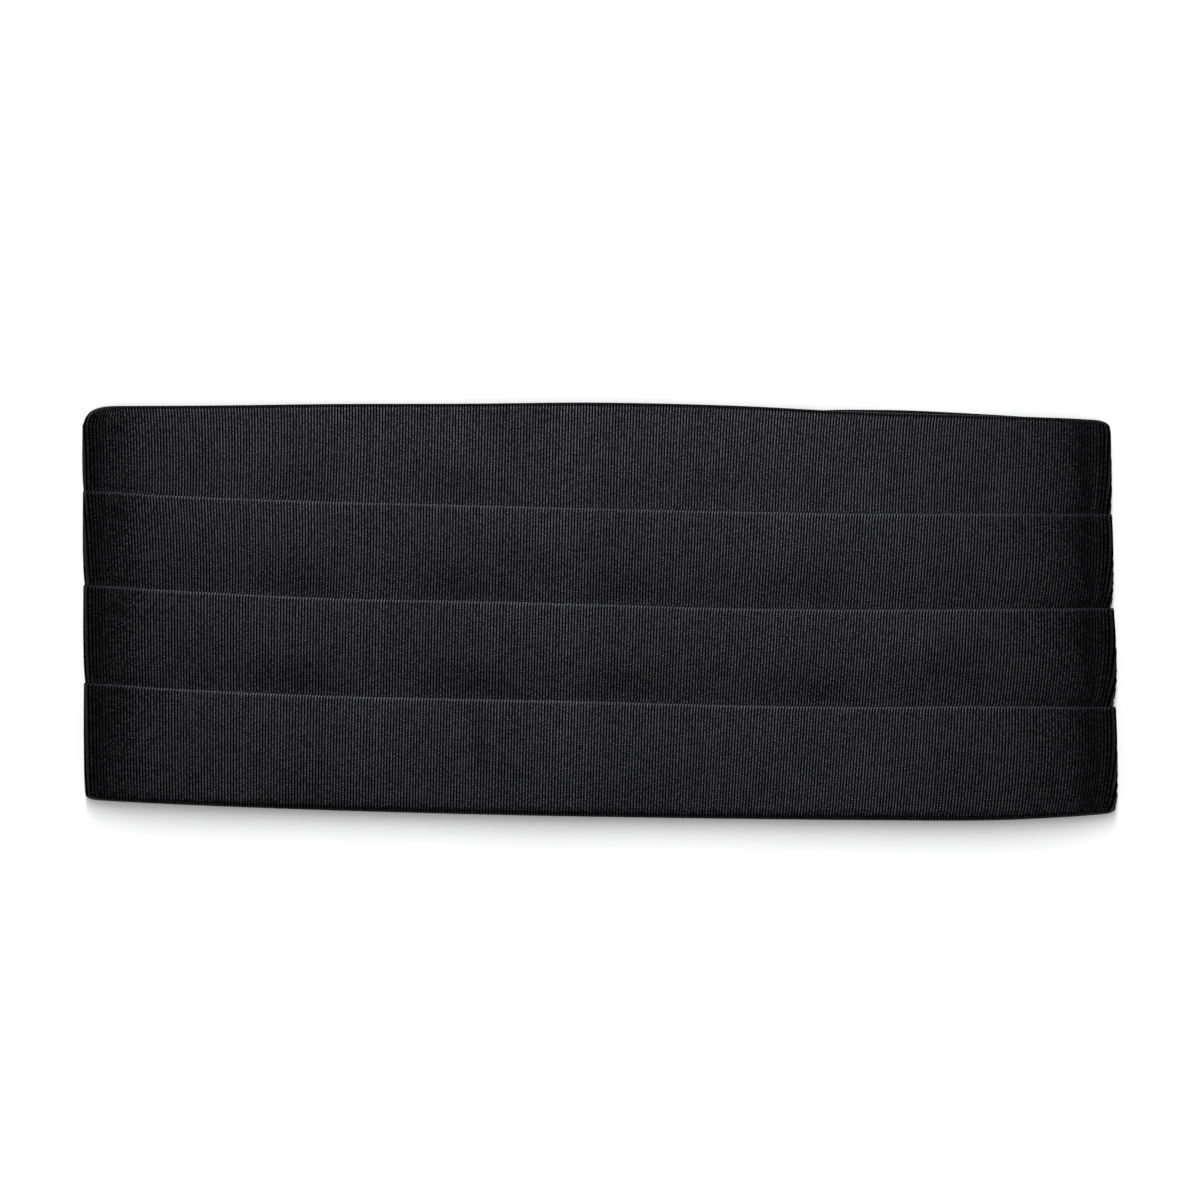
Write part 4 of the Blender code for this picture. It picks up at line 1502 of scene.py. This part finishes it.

# %% [markdown]
# ## Ribbed silk
# Black silk is almost without colour of its own: what one sees is the soft light on its cords. So
# the base is nearly black with a breath of blue, the cords are fairly smooth, and each bead of a
# cord is a little smoother or duller than the next, and a trace of red or blue, which gives the
# cloth its grain.
#
# The grooves get painted shade: roughness alone can't make them black, as even a rough
# surface reflects. Metal reflects its own colour only. So where the cloth is hollow, the shader
# turns metallic over a nearly black base, and the highlight goes out. The same mask paints shade
# on rolled edges, hems and fold tips, and Specular Tint does it where one looks along the cloth.

# %% Values of the silk
CLOTH_BLACK = (0.0015, 0.0015, 0.0019, 1.0)
# painted shade: the black that the grooves are painted with
GROOVE_SHADE_BLACK = grey(0.0002)
FLECK_GREY = (0.009, 0.009, 0.0105, 1.0)
FLECK_TINT = 0.009  # how much of a bead's own random colour it shows
FLECK_POWER = 2.6  # bright beads are rarer than dull ones
# painted highlight: the lighter grey mixed into the noses of the folds
FOLD_HIGHLIGHT_GREY = (0.024, 0.024, 0.027, 1.0)
SILK_SPECULAR = 0.69
SILK_EDGE_TINT = grey(0.3)
SILK_GROOVE = 0.8  # share of a rib's pitch over which the cord rises out of the groove
SILK_BEAD = 0.62 * MM
SILK_BEAD_HEIGHT = 0.032 * MM
SILK_DULL = 0.62  # how much shine the dullest beads lose
SILK_ROUGHNESS = (0.34, 0.18)  # dull beads and bright ones
SILK_PATCHES = 0.12  # how much patches of handling add to or take from the roughness
SILK_PATCH_SIZE = 22.0 * MM
GROOVE_ROUGHNESS = 0.2
# how the grooves' painted shade fades out across the cord
GROOVE_SHADE_CORD = (0.3, 0.95)  # the cord's mask, from hollow to full
HOLLOW_FLECK = 0.6  # beads below this value lose some shine
BINDING_RIB = 0.05 * MM  # height of the bindings' ribs, in their bump
print("a bead is", round(SILK_BEAD / RIB_PITCH, 2), "of a rib's width long")

# %% [markdown]
# ## The silk's colours
# A bead's random value picks between black and a dark grey with a trace of colour. Where the
# fold is pressed, the painted_light attribute mixes in a lighter grey as a painted highlight, and
# the cord's mask paints the grooves black as painted shade.

# %% Colour, painted highlight and painted shade masks
def silk_color(tree, cord, fleck, fleck_color, painted_light):
    tint = mix_colors(tree, FLECK_TINT, FLECK_GREY, fleck_color)
    beaded = mix_colors(tree, calculate(tree, "POWER", fleck, FLECK_POWER), CLOTH_BLACK, tint)
    # painted highlight on the fold noses
    beaded = mix_colors(tree, calculate(tree, "MAXIMUM", painted_light, 0.0), beaded, FOLD_HIGHLIGHT_GREY)
    # painted shade in the grooves
    return mix_colors(tree, cord, GROOVE_SHADE_BLACK, beaded)


def silk_shade_and_dull_beads(tree, cord, fleck, painted_light):
    """Painted shade, 1 in the grooves and where painted_light is -1; the dullest beads also lose
    shine at random.
    """
    shade_and_dullness = remap(tree, cord, *GROOVE_SHADE_CORD, 1.0, 0.0)
    dull = remap(tree, fleck, 0.0, HOLLOW_FLECK, SILK_DULL, 0.0)
    shade_and_dullness = calculate(tree, "MAXIMUM", shade_and_dullness, dull)
    return calculate(tree, "MAXIMUM", shade_and_dullness, calculate(tree, "MULTIPLY", painted_light, -1.0))


print("the darkest groove is", GROOVE_SHADE_BLACK[0], "and the lightest fold", FOLD_HIGHLIGHT_GREY[0])

# %% [markdown]
# ## The whole finish
# The strips carry their ribs in the mesh, so their bump only adds the beads. The bindings are
# smooth bars, so theirs makes the ribs as well.

# %% Silk, on the strips and the bindings
def build_silk(name, rib_height):
    material, tree, shader = new_material(name, 0.3, SILK_SPECULAR)
    shader.inputs["Specular Tint"].default_value = SILK_EDGE_TINT
    weave = place_weave(tree, RIB_PITCH, SILK_BEAD, SILK_GROOVE, rib_height, SILK_BEAD_HEIGHT)
    cord, fleck = weave.outputs["Cord"], weave.outputs["Fleck"]
    painted_light = add_node(tree, "ShaderNodeAttribute", attribute_name="painted_light").outputs["Fac"]
    color = silk_color(tree, cord, fleck, weave.outputs["Fleck Color"], painted_light)
    # painted shade in grooves, on rolls, hems and fold tips, and random dullness of beads
    shade_and_dullness = silk_shade_and_dull_beads(tree, cord, fleck, painted_light)
    touched = place_handling(tree, SILK_PATCH_SIZE, 1.0)
    uneven = calculate(tree, "SUBTRACT", touched.outputs["Patch"], 0.5)
    smooth = remap(tree, fleck, 0.0, 1.0, *SILK_ROUGHNESS, "LINEAR")
    smooth = calculate(tree, "MULTIPLY_ADD", uneven, SILK_PATCHES, smooth)
    rough = remap(tree, cord, 0.0, 1.0, GROOVE_ROUGHNESS, 0.0, "LINEAR")
    rough = calculate(tree, "ADD", smooth, rough)
    feed(tree, shader, {"Base Color": color, "Metallic": shade_and_dullness, "Roughness": rough})
    add_bump(tree, shader, weave.outputs["Height"])
    return material


silk = build_silk("ribbed_silk", 0.0)
binding_silk = build_silk("binding_silk", BINDING_RIB)
for piece in strips:
    piece.data.materials.append(silk)
for piece, _ in bindings:
    piece.data.materials.append(binding_silk)
print(silk.name, "has", len(silk.node_tree.nodes), "nodes")

# %% [markdown]
# ## Satin lining
# Satin floats long threads on its face, so it is smoother than the silk and has a fine slanting
# grain, which a slanted wave draws on the cloth's own measure. A little dust shows as paler
# specks.

# %% Satin
SATIN_GRAIN = 0.35 * MM
SATIN_UNEVEN = {"Distortion": 1.5, "Detail": 2.0, "Detail Scale": 3.0}
satin, tree, shader = new_material("satin_lining", 0.4, 0.25)
grain = slanted_wave(tree, cloth_uv(tree), 1.1, SATIN_GRAIN, SATIN_UNEVEN)
touched = place_handling(tree, 0.05, 0.8)
color = mix_colors(tree, grain, grey(0.006, 1.17), grey(0.011, 1.18))
dust = calculate(tree, "MULTIPLY", touched.outputs["Speck"], 0.15)
color = mix_colors(tree, dust, color, grey(0.05))
feed(tree, shader, {"Base Color": color, "Roughness": rough_by_patch(tree, touched, 0.3, 0.5)})
add_bump(tree, shader, grain, 0.02 * MM, 0.6)
lining.data.materials.append(satin)
print(satin.name, "has a grain of", SATIN_GRAIN / MM, "mm")

# %% [markdown]
# ## Webbing
# The strap's weave is the silk's idea at another size, with finer cords across the strap and more
# relief. A trace of sheen stands for the fuzz of its threads.

# %% Webbing
webbing, tree, shader = new_material("strap_webbing", 0.6, 0.2)
shader.inputs["Sheen Weight"].default_value = 0.08
weave = place_weave(
    tree, pitch=0.7 * MM, bead=0.45 * MM, groove=0.7, rib_height=0.09 * MM, bead_height=0.05 * MM
)
touched = place_handling(tree, 0.02, 0.8)
color = mix_colors(tree, weave.outputs["Fleck"], grey(0.006, 1.17), grey(0.02, 1.1))
# painted shade: the grooves between the cords are painted darker
color = mix_colors(tree, weave.outputs["Cord"], grey(0.002), color)
feed(tree, shader, {"Base Color": color, "Roughness": rough_by_patch(tree, touched, 0.5, 0.75)})
add_bump(tree, shader, weave.outputs["Height"])
strap.data.materials.append(webbing)
print(webbing.name, "has", len(tree.nodes), "nodes")

# %% [markdown]
# ## Sewing thread
# Sewing thread is a twist of two plies, which a slanted wave suggests. The stitches have no UV
# map, so the wave is drawn on Object coordinates, turned by a third of a right angle.

# %% Sewing thread
THREAD_TWIST = 0.45 * MM
thread, tree, shader = new_material("sewing_thread", 0.45, 0.3)
twist = slanted_wave(tree, object_place(tree), 0.6, THREAD_TWIST, bands_direction="Y")
color = mix_colors(tree, twist, grey(0.004, 1.25), grey(0.016, 1.125))
feed(tree, shader, {"Base Color": color, "Roughness": remap(tree, twist, 0.0, 1.0, 0.6, 0.4)})
add_bump(tree, shader, twist, 0.04 * MM)
for piece in stitches:
    piece.data.materials.append(thread)
print(thread.name, "is on", len(stitches), "pieces")

# %% [markdown]
# ## Blackened metal
# The slide is steel with a thin black coat. The coat wears off where the metal stands up highest
# and rubs on cloth, so the mask for bare metal grows with height and is broken up by the specks of
# the handling group. Bare metal is brighter and fully metallic.

# %% Blackened metal
WEAR_FROM = 2.9 * MM  # height above the table
WEAR_TO = 3.5 * MM
BARE_METAL = (0.35, 0.34, 0.33, 1.0)
metal, tree, shader = new_material("blackened_metal", 0.35, 0.5)
touched = place_handling(tree, 0.006, 1.2)
height = add_node(tree, "ShaderNodeSeparateXYZ", {"Vector": object_place(tree)}).outputs["Z"]
high = remap(tree, height, WEAR_FROM, WEAR_TO, 0.0, 0.8)
low = remap(tree, height, 0.0, 0.25 * MM, 0.5, 0.0)
rubbed = calculate(tree, "MULTIPLY", calculate(tree, "ADD", high, low), touched.outputs["Speck"])
color = mix_colors(tree, touched.outputs["Patch"], grey(0.012, 1.08), grey(0.03, 1.07))
color = mix_colors(tree, rubbed, color, BARE_METAL)
rough = rough_by_patch(tree, touched, 0.25, 0.5)
feed(tree, shader, {"Base Color": color, "Metallic": rubbed, "Roughness": rough})
add_bump(tree, shader, touched.outputs["Speck"], 0.01 * MM)
slide.data.materials.append(metal)
print(metal.name, "is worn from", WEAR_FROM / MM, "mm above the table")

# %% [markdown]
# ## The size of the cloth
# The size that the strips were cut to, before they were folded, is printed. A pleated
# strip is counted by its outer face, from where it is tucked in to its fold, because that is what
# shows.

widths = [round(width / MM) for width in strip_widths]
print("strips cut in mm:", round(CLOTH_LENGTH / MM), "x", widths)
